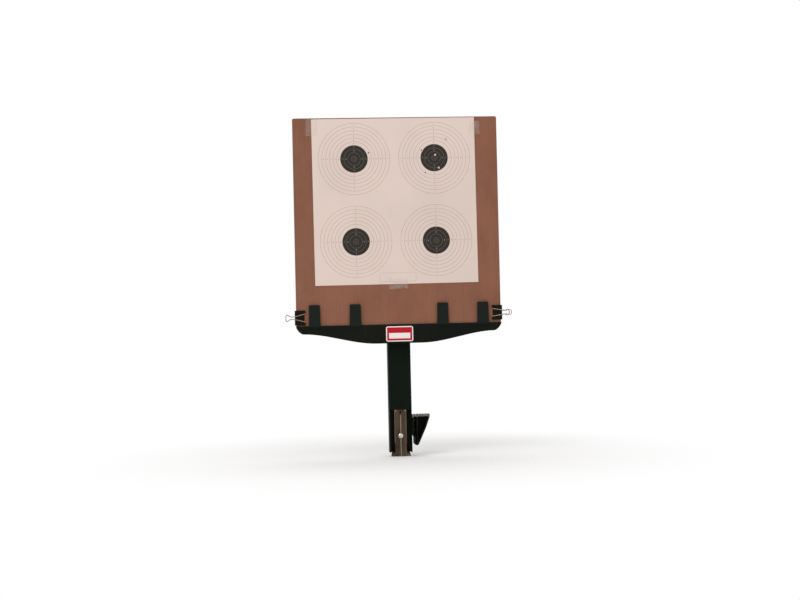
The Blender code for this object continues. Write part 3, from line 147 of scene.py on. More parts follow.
class Recipe:
    """The nodes of one material or world."""

    def __init__(self, owner: bpy.types.Material | bpy.types.World) -> None:
        """Opens the owner's node tree, with its Principled shader where it has one."""
        owner.use_nodes = True
        self.owner = owner
        self.tree = owner.node_tree
        self.shader = self.tree.nodes.get("Principled BSDF")

    def feed(self, socket: bpy.types.NodeSocket, value: object) -> None:
        """Links a signal to an input, or sets a plain value on it."""
        if isinstance(value, Signal):
            self.tree.links.new(value.socket, socket)
        elif socket.type == "RGBA":
            socket.default_value = (*value, 1.0)
        else:
            socket.default_value = value

    def node(
        self,
        kind: str,
        values: dict[str | int, object] | None = None,
        output: str | int = 0,
        **settings: object,
    ) -> Signal:
        """Adds any node.

        Args:
            kind: The node's type.
            values: What feeds its inputs, by name or number.
            output: The output that is used.
            settings: Its own settings, which are set before its inputs are fed.

        Returns:
            That output.
        """
        node = self.tree.nodes.new(kind)
        configure(node, **settings)
        for name, value in (values or {}).items():
            self.feed(node.inputs[name], value)
        return Signal(self, node.outputs[output])

    def coordinates(self) -> Signal:
        """The object's own coordinates, which are the stand's."""
        return self.node("ShaderNodeTexCoord", output="Object")

    def axes(self) -> tuple[Signal, Signal, Signal]:
        """The object's own X, Y and Z as three values."""
        where = self.coordinates()
        return tuple(self.node("ShaderNodeSeparateXYZ", {0: where}, axis) for axis in "XYZ")

    def noise(self, scale: Place, detail: float = 3.0, roughness: float = 0.5) -> Signal:
        """Soft noise from 0 to 1.

        Args:
            scale: How many times a metre it repeats along each axis.
            detail: How many finer layers it has.
            roughness: How strong these are.

        Returns:
            The noise's value.
        """
        stretched = self.node("ShaderNodeMapping", {"Vector": self.coordinates(), "Scale": scale})
        values = {"Vector": stretched, "Scale": 1.0, "Detail": detail, "Roughness": roughness}
        return self.node("ShaderNodeTexNoise", values)

    def ramp(self, value: Signal, low: float, high: float) -> Signal:
        """0 below low, 1 above high and a smooth change between them."""
        values = {"Value": value, "From Min": low, "From Max": high}
        return self.node("ShaderNodeMapRange", values, interpolation_type="SMOOTHSTEP")

    def fade(self, value: Signal, low: float, high: float) -> Signal:
        """1 below low, 0 above high and a smooth change between them."""
        return 1.0 - self.ramp(value, low, high)

    def mix(self, share: Signal | float, first: Signal | Colour, second: Signal | Colour) -> Signal:
        """A colour from the first, at share 0, to the second, at share 1."""
        values = {0: share, MIX_FIRST: first, MIX_SECOND: second}
        return self.node("ShaderNodeMix", values, MIX_RESULT, data_type="RGBA")

    def bump(self, height: Signal, depth: float) -> Signal:
        """A normal from a height of 0 to 1 that stands for a real depth."""
        return self.node("ShaderNodeBump", {"Height": height, "Distance": depth, "Strength": 1.0})

    def worn_edges(self, reach: float) -> Signal:
        """1 along the edges of a shape, fading to 0 at a reach from them."""
        rounded = self.node("ShaderNodeBevel", {"Radius": reach}, samples=BEVEL_SAMPLES)
        plain = self.node("ShaderNodeNewGeometry", output="Normal")
        turn = self.node("ShaderNodeVectorMath", {0: rounded, 1: plain}, "Value", operation="DOT_PRODUCT")
        return self.ramp(1.0 - turn, *EDGE_TURN)

    def surface(self, **values: object) -> None:
        """Sets the shader's inputs, whose names are given with _ for each space."""
        for name, value in values.items():
            self.feed(self.shader.inputs[name.replace("_", " ")], value)


@dataclass(frozen=True)
class Finish:
    """A finish of the stand. Each kind mixes its own material."""

    name: str
    slot: str

    def mix_into(self, recipe: Recipe) -> None:
        """Fills the material's nodes."""
        raise NotImplementedError

    @cache
    def material(self) -> bpy.types.Material:
        """The finish's material, which its pieces share."""
        recipe = Recipe(bpy.data.materials.new(self.name))
        self.mix_into(recipe)
        return recipe.owner


@dataclass(frozen=True)
class MouldedPlastic(Finish):
    """Dark green plastic with a fine moulded grain, painted highlights along its edges and a trace of dust.
    """

    colour: Colour = srgb(18, 22, 16)
    # Painted highlight along the edges.
    edge_colour: Colour = srgb(44, 46, 41)
    # A lighter tone above a given height, on the crosspiece's fingers.
    rubbed_colour: Colour = srgb(26, 32, 28)
    rubbed_above: float | None = None
    rubbed_fade: float = 3.0 * MM
    # Painted highlight on the pedal's top band, above a given height.
    tread_above: float | None = None
    tread_fade: float = 4.0 * MM
    tread_colour: Colour = srgb(150, 146, 138)
    dust_colour: Colour = srgb(70, 62, 54)
    roughness: float = 0.48
    gloss: float = 0.06
    grain: float = 1400.0
    grain_depth: float = 0.02 * MM
    edge_reach: float = 0.8 * MM

    def mix_into(self, recipe: Recipe) -> None:
        """Mixes the green, then its lighter part above a height, the painted edge highlights, the dust and
        the painted highlight on the tread.
        """
        broad = recipe.noise((9.0, 9.0, 6.0), 4.0)
        grain = recipe.noise((self.grain,) * 3, 2.0)
        scuffs = recipe.ramp(recipe.noise((260.0, 260.0, 24.0), 5.0, 0.6), 0.58, 0.74)
        green = recipe.mix(recipe.ramp(broad, 0.35, 0.65), darker(self.colour, 0.72), self.colour)
        up = recipe.axes()[2]
        # Lighter above a given height.
        if self.rubbed_above is not None:
            lightening = recipe.ramp(up, self.rubbed_above, self.rubbed_above + self.rubbed_fade)
            green = recipe.mix(lightening, green, self.rubbed_colour)
        # Painted highlight along the edges.
        edge_lit = recipe.mix(recipe.worn_edges(self.edge_reach) * 0.45, green, self.edge_colour)
        dust_and_highlight = recipe.mix(scuffs * 0.10, edge_lit, self.dust_colour)
        # Painted highlight: the pedal's top band painted light and speckled, where top faces catch the sky.
        if self.tread_above is not None:
            speckle = recipe.ramp(recipe.noise((1100.0, 1100.0, 700.0), 3.0, 0.7), 0.42, 0.6)
            height = recipe.ramp(up, self.tread_above, self.tread_above + self.tread_fade)
            dust_and_highlight = recipe.mix(height * (speckle * 0.75 + 0.1), dust_and_highlight, self.tread_colour)
        recipe.surface(
            Base_Color=dust_and_highlight,
            Roughness=self.roughness + (broad - 0.5) * 0.2 + scuffs * 0.1,
            Normal=recipe.bump(grain, self.grain_depth),
            Specular_IOR_Level=self.gloss,
        )


@dataclass(frozen=True)
class SatinSteel(Finish):
    """Pressed steel with upright rolling lines, its grey-brown a painted reflection of brown ground, and
    painted highlights along its edges, bead, bends and shoulders.
    """

    # A painted reflection of brown ground in the steel.
    colour: Colour = srgb(93, 76, 61)
    # Painted highlight colour.
    bright: Colour = srgb(176, 162, 146)
    roughness: float = 0.42
    edge_reach: float = 0.8 * MM
    bead_half: float = 0.8 * MM
    bend_place: float = 13.0 * MM
    bend_half: float = 1.1 * MM
    flare_top: float = 24.0 * MM
    flare_fade: float = 12.0 * MM
    bead_top: float = 91.0 * MM
    bead_fade: float = 3.0 * MM
    shoulder: float = 97.0 * MM
    shoulder_reach: Point = (10.0 * MM, 15.0 * MM)
    relief: float = 0.01 * MM

    def mix_into(self, recipe: Recipe) -> None:
        """Mixes the rolled grey-brown, a painted reflection of brown ground, its streaks and the painted
        highlights on the edges, bead, bends and shoulders.
        """
        streaks = recipe.noise((900.0, 900.0, 14.0), 4.0, 0.6)
        bands = recipe.noise((260.0, 260.0, 12.0), 3.0, 0.6)
        clouds = recipe.noise((60.0, 60.0, 30.0), 4.0)
        mottled = recipe.ramp(streaks * 0.3 + bands * 0.45 + clouds * 0.25, 0.4, 0.6)
        rolled = recipe.mix(mottled, darker(self.colour, 0.42), self.colour)
        # Painted highlights along the edges and the raised lines.
        edges = recipe.worn_edges(self.edge_reach) * 0.8
        lightening = self.rubbed_lines(recipe) * (0.3 + streaks * 0.7)
        recipe.surface(
            Base_Color=recipe.mix(edges.either(lightening), rolled, self.bright),
            Metallic=1.0,
            Roughness=self.roughness + (streaks - 0.5) * 0.25,
            Normal=recipe.bump(streaks, self.relief),
        )

    def rubbed_lines(self, recipe: Recipe) -> Signal:
        """A mask of the painted highlights on the bead, the two bends above the flare and the shoulders."""
        across, _, up = recipe.axes()
        bead = recipe.fade(abs(across), self.bead_half * 0.5, self.bead_half * 1.5)
        along_bead = recipe.fade(up, self.bead_top - self.bead_fade, self.bead_top)
        bends = recipe.fade(abs(abs(across) - self.bend_place), self.bend_half * 0.4, self.bend_half * 1.4)
        above_flare = recipe.ramp(up, self.flare_top, self.flare_top + self.flare_fade)
        corner = recipe.ramp(abs(across) + (up - self.shoulder), *self.shoulder_reach) * (up > self.shoulder)
        return (bead * along_bead * 0.9).either(bends * above_flare * 0.6).either(corner * 0.9)


@dataclass(frozen=True)
class BrightPlate(Finish):
    """Plated steel: zinc on the fasteners, nickel on the wire."""

    colour: Colour = srgb(196, 194, 190)
    roughness: float = 0.24

    def mix_into(self, recipe: Recipe) -> None:
        """Mixes the plate and its faint clouds."""
        clouds = recipe.noise((420.0,) * 3, 3.0)
        recipe.surface(
            Base_Color=recipe.mix(recipe.ramp(clouds, 0.35, 0.7), self.colour, darker(self.colour, 0.8)),
            Metallic=1.0,
            Roughness=self.roughness + (clouds - 0.5) * 0.16,
        )


@dataclass(frozen=True)
class BlackEnamel(Finish):
    """Stoved black enamel on spring steel."""

    colour: Colour = srgb(24, 17, 8)
    edge_colour: Colour = srgb(76, 68, 58)
    edge_reach: float = 0.3 * MM
    grain_depth: float = 0.01 * MM

    def mix_into(self, recipe: Recipe) -> None:
        """Mixes the enamel, with the edges scuffed through."""
        clouds = recipe.noise((160.0,) * 3, 4.0)
        recipe.surface(
            Base_Color=recipe.mix(recipe.worn_edges(self.edge_reach) * 0.5, self.colour, self.edge_colour),
            Roughness=0.3 + clouds * 0.16,
            Normal=recipe.bump(recipe.noise((700.0,) * 3, 1.0), self.grain_depth),
            Specular_IOR_Level=0.06,
        )


@dataclass(frozen=True)
class KraftBoard(Finish):
    """Brown corrugated board: upright fibres, with the flutes faintly showing through the liner."""

    colour: Colour = srgb(140, 94, 74)
    dark: Colour = srgb(126, 83, 64)
    pale: Colour = srgb(156, 110, 88)
    flute_pitch: float = 7.6 * MM
    flute_sway: float = 1.5 * MM
    relief: float = 0.12 * MM

    def mix_into(self, recipe: Recipe) -> None:
        """Mixes the clouds, the upright fibres and the flutes' lines."""
        across, _, _ = recipe.axes()
        clouds = recipe.noise((14.0, 14.0, 7.0), 5.0, 0.6)
        fibres = recipe.noise((1300.0, 1300.0, 260.0), 4.0, 0.65)
        streaks = recipe.noise((130.0, 130.0, 2.5), 3.0, 0.5)
        specks = recipe.ramp(recipe.noise((420.0, 420.0, 330.0), 2.0, 0.6), 0.62, 0.74)
        flutes = (across + (clouds - 0.5) * self.flute_sway).wave(self.flute_pitch)
        tone = recipe.mix(recipe.ramp(clouds * 0.86 + streaks * 0.14, 0.32, 0.66), self.dark, self.colour)
        flecked = recipe.mix(recipe.ramp(fibres, 0.5, 0.8) * 0.35, tone, self.pale)
        flecked = recipe.mix(specks * 0.2, flecked, self.dark)
        recipe.surface(
            Base_Color=recipe.mix(flutes * 0.22, flecked, self.dark),
            Roughness=0.82 + (fibres - 0.5) * 0.12,
            Normal=recipe.bump(fibres * 0.35 + flutes * 0.65, self.relief),
            Specular_IOR_Level=0.2,
        )


@dataclass(frozen=True)
class PlainPaper(Finish):
    """Off-white paper: the torn rims of the pellet holes, and the base of the score sheet's print."""

    colour: Colour = srgb(222, 203, 193)

    def mix_into(self, recipe: Recipe) -> None:
        """Mixes the paper's tone and its fibres."""
        recipe.surface(Base_Color=self.tone(recipe), Roughness=0.8, Specular_IOR_Level=0.2)

    def tone(self, recipe: Recipe) -> Signal:
        """The bare paper's colour."""
        clouds = recipe.noise((10.0, 10.0, 8.0), 4.0)
        fibres = recipe.noise((1300.0,) * 3, 3.0)
        share = recipe.ramp(clouds * 0.7 + fibres * 0.3, 0.34, 0.62)
        return recipe.mix(share, darker(self.colour, 0.93), self.colour)


@dataclass(frozen=True)
class RingPrint(PlainPaper):
    """The score sheet's print: four bulls of ten rings, and an empty box under them for a name."""

    ink: Colour = srgb(46, 41, 36)
    middle: Point = (0.0, 0.0)
    turn: float = math.radians(0.25)
    bull_offset: Point = (0.6 * MM, 2.9 * MM)
    bull_spacing: Point = (175.0 * MM, 180.0 * MM)
    ring_pitch: float = 8.0 * MM
    ten_radius: float = 5.75 * MM
    inner_ten_radius: float = 2.5 * MM
    black_radius: float = 29.75 * MM
    outer_radius: float = 77.75 * MM
    line: float = 0.55 * MM
    box_middle: Point = (2.0 * MM, -165.5 * MM)
    box_size: Point = (79.0 * MM, 19.0 * MM)

    def mix_into(self, recipe: Recipe) -> None:
        """Prints the rings over the paper, light on the black and grey outside it."""
        across, _, up = recipe.axes()
        x, z = across - self.middle[0], up - self.middle[1]
        sine, cosine = math.sin(self.turn), math.cos(self.turn)
        u, v = x * cosine + z * sine, z * cosine - x * sine
        from_bull = [
            abs(abs(along - offset) - spacing / 2)
            for along, offset, spacing in zip((u, v), self.bull_offset, self.bull_spacing)
        ]
        radius = (from_bull[0] ** 2.0 + from_bull[1] ** 2.0) ** 0.5
        past = (radius - self.ten_radius + self.line / 2).repeat(self.ring_pitch)
        rings = (past < self.line) * (radius < self.outer_radius + self.line)
        lines = rings.either(abs(radius - self.inner_ten_radius) < self.line / 2)
        black = radius < self.black_radius
        grey_line = lines * (1.0 - black) * 0.6
        from_box = past_box(u - self.box_middle[0], v - self.box_middle[1], self.box_size)
        box_line = (abs(from_box) < self.line / 2) * 0.35
        share = (black * (1.0 - lines * 0.2)).either(grey_line).either(box_line)
        recipe.surface(
            Base_Color=recipe.mix(share, self.tone(recipe), self.ink),
            Roughness=0.8 - black * 0.12,
            Specular_IOR_Level=0.2,
        )


@dataclass(frozen=True)
class ClearTape(Finish):
    """Clear packing tape, hazy with air bubbles."""

    colour: Colour = srgb(232, 220, 210)
    haze: float = 0.06

    def mix_into(self, recipe: Recipe) -> None:
        """Mixes the haze and the bubbles."""
        bubbles = recipe.ramp(recipe.noise((75.0,) * 3, 3.0, 0.5), 0.42, 0.68)
        recipe.surface(
            Base_Color=self.colour,
            Alpha=self.haze + bubbles * 0.06,
            Roughness=0.16 + bubbles * 0.2,
            Specular_IOR_Level=0.4,
        )


@dataclass(frozen=True)
class LabelFilm(Finish):
    """Printed film: a white border round a red field, with a blank white panel to write on."""

    red: Colour = srgb(182, 28, 41)
    white: Colour = srgb(236, 230, 226)
    middle: Point = (0.0, 0.0)
    size: Point = (59.0 * MM, 33.0 * MM)
    border: float = 2.2 * MM
    panel: Point = (46.0 * MM, 12.0 * MM)
    panel_drop: float = 4.0 * MM
    scuff_colour: Colour = srgb(150, 140, 132)

    def mix_into(self, recipe: Recipe) -> None:
        """Prints the border and the panel, and scuffs them a little."""
        across, _, up = recipe.axes()
        u, v = across - self.middle[0], up - self.middle[1]
        in_panel = past_box(u, v + self.panel_drop, self.panel) < 0.0
        white = (past_box(u, v, self.size) > -self.border).either(in_panel)
        scuffs = recipe.ramp(recipe.noise((300.0, 300.0, 120.0), 5.0, 0.65), 0.56, 0.72)
        recipe.surface(
            Base_Color=recipe.mix(scuffs * 0.12, recipe.mix(white, self.red, self.white), self.scuff_colour),
            Roughness=0.34 + scuffs * 0.2,
            Specular_IOR_Level=0.08,
        )


@dataclass(frozen=True)
class PrintInk(Finish):
    """A line of printed ink, slightly broken by the paper's fibres."""

    colour: Colour = srgb(84, 78, 72)
    thin: Colour = srgb(118, 110, 102)

    def mix_into(self, recipe: Recipe) -> None:
        """Mixes the ink's full and thin tones."""
        broken = recipe.ramp(recipe.noise((2400.0,) * 3, 2.0), 0.45, 0.7)
        colour = recipe.mix(broken, self.colour, self.thin)
        recipe.surface(Base_Color=colour, Roughness=0.75, Specular_IOR_Level=0.2)


GREEN_PLASTIC = MouldedPlastic("green_plastic", "green_plastic", srgb(12, 21, 13))
# Lighter above the height where the fingers stand.
UPPER_LIGHTER_PLASTIC = MouldedPlastic("upper_lighter_plastic", "green_plastic", rubbed_above=286.0 * MM)
# Painted highlight on the pedal's top band.
TREAD_HIGHLIT_PLASTIC = MouldedPlastic("tread_highlit_plastic", "green_plastic", tread_above=83.0 * MM)
STAKE_STEEL = SatinSteel("stake_steel", "stake_steel")
ZINC = BrightPlate("zinc_plate", "zinc")
WIRE = BrightPlate("nickel_wire", "wire_steel", srgb(158, 149, 138), 0.28)
ENAMEL = BlackEnamel("black_enamel", "black_steel")
KRAFT = KraftBoard("kraft_board", "cardboard")
BARE_PAPER = PlainPaper("torn_paper", "paper")
DARK_INK = PrintInk("dark_ink", "paper")
LIGHT_INK = PrintInk("light_ink", "paper", srgb(168, 156, 146), srgb(140, 130, 121))
TAPE = ClearTape("clear_tape", "clear_tape")


# Modelling


def clear_bench() -> None:
    """Leaves edit mode with nothing selected, so that an operator acts on its own piece alone."""
    if bpy.context.object is not None and bpy.context.object.mode == "EDIT":
        bpy.ops.object.mode_set(mode="OBJECT")
    bpy.ops.object.select_all(action="DESELECT")


def placed(name: str, data: bpy.types.ID) -> bpy.types.Object:
    """A new object in the scene, made of its data."""
    obj = bpy.data.objects.new(name, data)
    bpy.context.scene.collection.objects.link(obj)
    return obj


def duplicate(source: bpy.types.Object) -> bpy.types.Object:
    """A copy of an object in the scene, with a mesh of its own."""
    obj = source.copy()
    obj.data = source.data.copy()
    bpy.context.scene.collection.objects.link(obj)
    return obj


def arc(middle: Point, radius: float, start: float, end: float, steps: int) -> list[Point]:
    """Points along an arc, from a start to an end angle in degrees."""
    angles = [math.radians(start + (end - start) * step / steps) for step in range(steps + 1)]
    return [(middle[0] + radius * math.cos(angle), middle[1] + radius * math.sin(angle)) for angle in angles]


class Workpiece:
    """A piece on the bench. Each method does one job on it and gives it back for the next."""

    def __init__(self, name: str) -> None:
        """Names the piece."""
        self.name = name
        self.obj: bpy.types.Object | None = None

    def hold(self) -> None:
        """Clears the bench, selects the piece and makes it the active one."""
        clear_bench()
        self.obj.select_set(True)
        bpy.context.view_layer.objects.active = self.obj

    def take(self, obj: bpy.types.Object) -> Self:
        """Takes an object as the piece and applies its place."""
        self.obj = obj
        obj.name = obj.data.name = self.name
        self.hold()
        bpy.ops.object.transform_apply(location=True, rotation=True, scale=True)
        return self

    def edit(self) -> Self:
        """Opens the piece in edit mode."""
        self.hold()
        bpy.ops.object.mode_set(mode="EDIT")
        return self

    def whole(self, operator: Callable, **settings: object) -> Self:
        """Runs an edit mode operator on all of the mesh."""
        bpy.ops.mesh.select_all(action="SELECT")
        operator(**settings)
        return self

    def face_out(self) -> Self:
        """Turns all faces outwards, in edit mode."""
        return self.whole(bpy.ops.mesh.normals_make_consistent, inside=False)

    def block(self, low: Place, high: Place) -> Self:
        """Starts from a block between two corners."""
        clear_bench()
        middle = (Vector(low) + Vector(high)) / 2
        bpy.ops.mesh.primitive_cube_add(size=1.0, location=middle, scale=Vector(high) - Vector(low))
        return self.take(bpy.context.object)

    def drum(self, place: Place, radius: float, length: float, sides: int) -> Self:
        """Starts from a round bar along Y about its middle."""
        clear_bench()
        turn = Vector((0.0, 0.0, 1.0)).rotation_difference(ALONG_Y).to_euler()
        settings = {"vertices": sides, "radius": radius, "depth": length}
        bpy.ops.mesh.primitive_cylinder_add(location=place, rotation=turn, **settings)
        return self.take(bpy.context.object)

    def film(self, low: Place, high: Place, columns: int, rows: int) -> Self:
        """Starts from a flat grid that stands facing the viewer between two corners."""
        clear_bench()
        middle = (Vector(low) + Vector(high)) / 2
        size = (high[0] - low[0], 1.0, high[2] - low[2])
        counts = {"x_subdivisions": columns, "y_subdivisions": rows}
        bpy.ops.mesh.primitive_grid_add(size=1.0, location=middle, rotation=(math.pi / 2, 0.0, 0.0), **counts)
        film = self.take(bpy.context.object).edit()
        return film.whole(bpy.ops.transform.resize, value=size, center_override=middle)

    def drawn(self, points: Sequence[Place], closed: bool = False) -> Self:
        """Starts from a line through points, open or closed."""
        clear_bench()
        mesh = bpy.data.meshes.new(self.name)
        count = len(points)
        lines = [(k, (k + 1) % count) for k in range(count if closed else count - 1)]
        mesh.from_pydata(points, lines, [])
        return self.take(placed(self.name, mesh))

    def strip(self, points: Sequence[Place], height: float, thickness: float) -> Self:
        """Starts from a line through points that is drawn up by a height and made thick."""
        move = {"value": (0.0, 0.0, height)}
        self.drawn(points).edit().whole(bpy.ops.mesh.extrude_region_move, TRANSFORM_OT_translate=move)
        return self.face_out().thicken(thickness)

    def turned(self, profile: Sequence[Point], place: Place, closed: bool = False, steps: int = 48) -> Self:
        """Spins a profile round an axis along Y.

        Args:
            profile: Points as a radius and a place along the axis.
            place: Where the axis starts.
            closed: Whether the profile is a ring, as on a washer.
            steps: How many steps the turn has.

        Returns:
            The piece.
        """
        side = ALONG_Y.orthogonal().normalized()
        points = [Vector(place) + side * radius + ALONG_Y * reach for radius, reach in profile]
        spin = {"steps": steps, "angle": math.tau, "center": place, "axis": ALONG_Y, "use_auto_merge": True}
        self.drawn(points, closed).edit().whole(bpy.ops.mesh.spin, **spin)
        return self.whole(bpy.ops.mesh.remove_doubles, threshold=0.001 * MM).face_out()

    def wire(self, points: Sequence[Place], diameter: float) -> Self:
        """Starts from a round wire through points."""
        curve = bpy.data.curves.new(self.name, "CURVE")
        configure(curve, dimensions="3D", bevel_depth=diameter / 2, bevel_resolution=4, use_fill_caps=True)
        spline = curve.splines.new("POLY")
        spline.points.add(len(points) - 1)
        for knot, point in zip(spline.points, points):
            knot.co = (*point, 1.0)
        self.obj = placed(self.name, curve)
        self.hold()
        bpy.ops.object.convert(target="MESH")
        return self.take(bpy.context.object)

    def numeral(self, digit: int, height: float, thickness: float) -> Self:
        """Starts from one slightly bold digit that faces the viewer, about the origin."""
        clear_bench()
        bpy.ops.object.text_add()
        text = bpy.context.object.data
        configure(text, body=str(digit), size=height / DIGIT_SHARE, extrude=thickness / 2)
        configure(text, offset=height * DIGIT_BOLD, resolution_u=3, align_x="CENTER", align_y="CENTER")
        bpy.ops.object.convert(target="MESH")
        bpy.context.object.rotation_euler = (math.pi / 2, 0.0, 0.0)
        return self.take(bpy.context.object)

    def copy_of(self, node: str) -> Self:
        """Starts from a merged copy of a CAD node, whose flat faces are made whole again."""
        clear_bench()
        obj = duplicate(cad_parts[node])
        obj.data.materials.clear()
        self.take(obj).edit().whole(bpy.ops.mesh.remove_doubles, threshold=0.002 * MM)
        return self.whole(bpy.ops.mesh.dissolve_limited, angle_limit=math.radians(0.6))

    def twin(self, name: str, shift: Place) -> Self:
        """A copy of the piece as it is, moved by a shift."""
        clear_bench()
        obj = duplicate(self.obj)
        obj.location = shift
        return Workpiece(name).take(obj)

    def pick(self, chosen: Callable[[Vector, Vector], bool]) -> Self:
        """Selects edges in edit mode.

        Args:
            chosen: Says yes or no from an edge's middle and its direction.

        Returns:
            The piece, still in edit mode.
        """
        self.edit()
        bpy.ops.mesh.select_mode(type="EDGE")
        bpy.ops.mesh.select_all(action="DESELECT")
        mesh = bmesh.from_edit_mesh(self.obj.data)
        for edge in mesh.edges:
            start, end = (corner.co for corner in edge.verts)
            edge.select_set(chosen((start + end) / 2, (end - start).normalized()))
        bmesh.update_edit_mesh(self.obj.data)
        return self

    def chamfer(self, width: float, segments: int) -> Self:
        """Rounds the picked edges."""
        bpy.ops.mesh.bevel(offset=width, segments=segments, affect="EDGES")
        return self

    def saw(self, place: Place, normal: Place, drop: bool = False) -> Self:
        """Cuts the whole mesh along a plane, and drops what lies past it where asked, with the cut closed."""
        settings = {"plane_co": place, "plane_no": normal, "clear_outer": drop, "use_fill": drop}
        return self.edit().whole(bpy.ops.mesh.bisect, **settings)

    def modify(self, kind: str, **settings: object) -> Self:
        """Adds a modifier with its settings and applies it."""
        self.hold()
        modifier = self.obj.modifiers.new("job", kind)
        configure(modifier, **settings)
        bpy.ops.object.modifier_apply(modifier=modifier.name)
        return self

    def thicken(self, thickness: float, offset: float = 0.0) -> Self:
        """Makes a film thick, half to each side at offset 0 and all to one side at 1."""
        return self.modify("SOLIDIFY", thickness=thickness, offset=offset)

    def soften(self, width: float, angle: float, segments: int = 2) -> Self:
        """Rounds every edge sharper than an angle by a small width."""
        limits = {"limit_method": "ANGLE", "angle_limit": math.radians(angle), "use_clamp_overlap": True}
        self.modify("BEVEL", width=width, segments=segments, **limits)
        return self.smooth(60.0).modify("WEIGHTED_NORMAL", keep_sharp=True)

    def cut(self, *tools: "Workpiece", keep: bool = False) -> Self:
        """Cuts the tools' shapes out of the piece, and clears them away unless they are kept."""
        for tool in tools:
            self.modify("BOOLEAN", operation="DIFFERENCE", object=tool.obj, solver="EXACT")
            if not keep:
                tool.scrap()
        return self

    def join(self, others: Iterable["Workpiece"]) -> Self:
        """Takes other pieces into this one's mesh."""
        self.hold()
        bpy.context.view_layer.update()
        for other in others:
            other.obj.select_set(True)
        bpy.ops.object.join()
        return self

    def rename(self, name: str) -> Self:
        """Gives the piece another name."""
        self.name = self.obj.name = name
        return self

    def reshape(self, move: Callable[[Vector], Vector]) -> Self:
        """Moves each point to where a function puts it."""
        clear_bench()
        for point in self.obj.data.vertices:
            point.co = move(point.co)
        return self

    def scrap(self) -> None:
        """Throws the piece away."""
        bpy.data.objects.remove(self.obj, do_unlink=True)

    def smooth(self, angle: float) -> Self:
        """Shades the piece smooth, but for edges sharper than an angle."""
        self.hold()
        bpy.ops.object.shade_smooth_by_angle(angle=math.radians(angle))
        return self

    def finish(self, finish: Finish, body: str, *nodes: str) -> None:
        """Dresses the piece and mounts it.

        Args:
            finish: Its finish.
            body: The body that it moves with.
            nodes: The CAD nodes that it stands for.
        """
        clear_bench()
        self.obj.data.materials.clear()
        self.obj.data.materials.append(finish.material())
        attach(self.obj, body)
        if nodes:
            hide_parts(*nodes)
        LOG.info("%s: %d faces, %s, on %s", self.name, len(self.obj.data.polygons), finish.name, body)


# Fasteners


@dataclass
class Fastener:
    """A domed bolt along Y with a rolled thread, and the washer and wing nut that go with it."""

    head_height: float = 2.9 * MM
    head_rim: float = 0.6 * MM
    head_taper: float = 0.1 * MM
    shank: float = 6.0 * MM
    thread_depth: float = 0.5 * MM
    pitch: float = 1.0 * MM
    plain_length: float = 4.0 * MM
    washer_edge: float = 0.25 * MM
    bore: float = 6.6 * MM
    nut_edge: float = 0.45 * MM
    dome_steps: int = 12
    thread_steps: int = 24

    @staticmethod
    def measured(node: str) -> tuple[Vector, Vector, Place, float]:
        """A round node's lower and upper corner, its middle at Y = 0 and its radius."""
        low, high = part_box(node)
        return low, high, ((low.x + high.x) / 2, 0.0, (low.z + high.z) / 2), (high.x - low.x) / 2

    def bolt(self, node: str, body: str) -> None:
        """Turns the head and shank, and rolls the thread."""
        low, high, middle, radius = self.measured(node)
        seat = low.y + self.head_height
        rise = self.head_height - self.head_rim
        core, crest = self.shank / 2 - self.thread_depth, self.shank / 2
        plain_end, tip = seat + self.plain_length, high.y - self.pitch / 2
        profile = [(0.0, low.y)]
        for step in reversed(range(self.dome_steps)):
            angle = math.pi / 2 * step / self.dome_steps
            profile += [(radius * math.cos(angle), low.y + rise * (1 - math.sin(angle)))]
        profile += [(radius - self.head_taper, seat), (crest, seat), (crest, plain_end)]
        profile += [(core, plain_end + self.thread_depth), (core, tip), (0.0, tip)]
        piece = Workpiece(f"{node}_body").turned(profile, middle)
        thread = self.thread(f"{node}_thread", middle, plain_end, high.y)
        piece.join([thread]).smooth(50.0).finish(ZINC, body, node)

    def thread(self, name: str, middle: Place, start: float, end: float) -> Workpiece:
        """Winds a thread's ridge round the shank, and saws it flat at both ends."""
        core, crest = self.shank / 2 - self.thread_depth, self.shank / 2
        turns = math.ceil((end - start) / self.pitch) + 2
        profile = ((core, 0.0), (crest, 0.45), (crest, 0.55), (core, 1.0))
        piece = Workpiece(name).drawn([(radius, 0.0, self.pitch * share) for radius, share in profile])
        winding = {"angle": math.tau, "screw_offset": self.pitch, "iterations": turns}
        steps = {"steps": self.thread_steps, "render_steps": self.thread_steps}
        piece.modify("SCREW", **winding, **steps, use_merge_vertices=True, merge_threshold=0.01 * MM)
        piece.saw((0.0, 0.0, self.pitch), (0.0, 0.0, -1.0), True)
        piece.saw((0.0, 0.0, self.pitch + (end - start)), (0.0, 0.0, 1.0), True)
        return piece.face_out().reshape(
            lambda point: Vector((middle[0] + point.x, start + point.z - self.pitch, middle[2] - point.y))
        )

    def washer(self, node: str, body: str) -> None:
        """Turns a flat washer with rounded edges."""
        low, high, middle, radius = self.measured(node)
        edge = self.washer_edge
        outer, inner, front, rear = radius - edge, self.bore / 2 + edge, low.y + edge, high.y - edge
        corners = ((outer, front, -90), (outer, rear, 0), (inner, rear, 90), (inner, front, 180))
        profile = [point for x, y, start in corners for point in arc((x, y), edge, start, start + 90, 3)]
        Workpiece(f"{node}_ring").turned(profile, middle, True).smooth(60.0).finish(ZINC, body, node)

    def wing_nut(self, node: str, body: str) -> None:
        """Rounds every edge of the nut's hub and wings, as cast."""
        Workpiece(f"{node}_casting").copy_of(node).soften(self.nut_edge, 25.0, 3).finish(ZINC, body, node)


# Stake, post and pedal


@dataclass
class GroundStake:
    """The pressed steel stake with its clamping bolt."""

    edge: float = 0.3 * MM
    fastener: Fastener = field(default_factory=Fastener)

    def build(self) -> None:
        """Builds the stake and its fasteners."""
        stake = Workpiece("stake_pressing").copy_of("stake")
        stake.soften(self.edge, 35.0).finish(STAKE_STEEL, "stake", "stake")
        self.fastener.bolt("stake_bolt", "stake")
        self.fastener.washer("stake_washer", "stake")
        self.fastener.wing_nut("stake_wing_nut", "stake_nut")


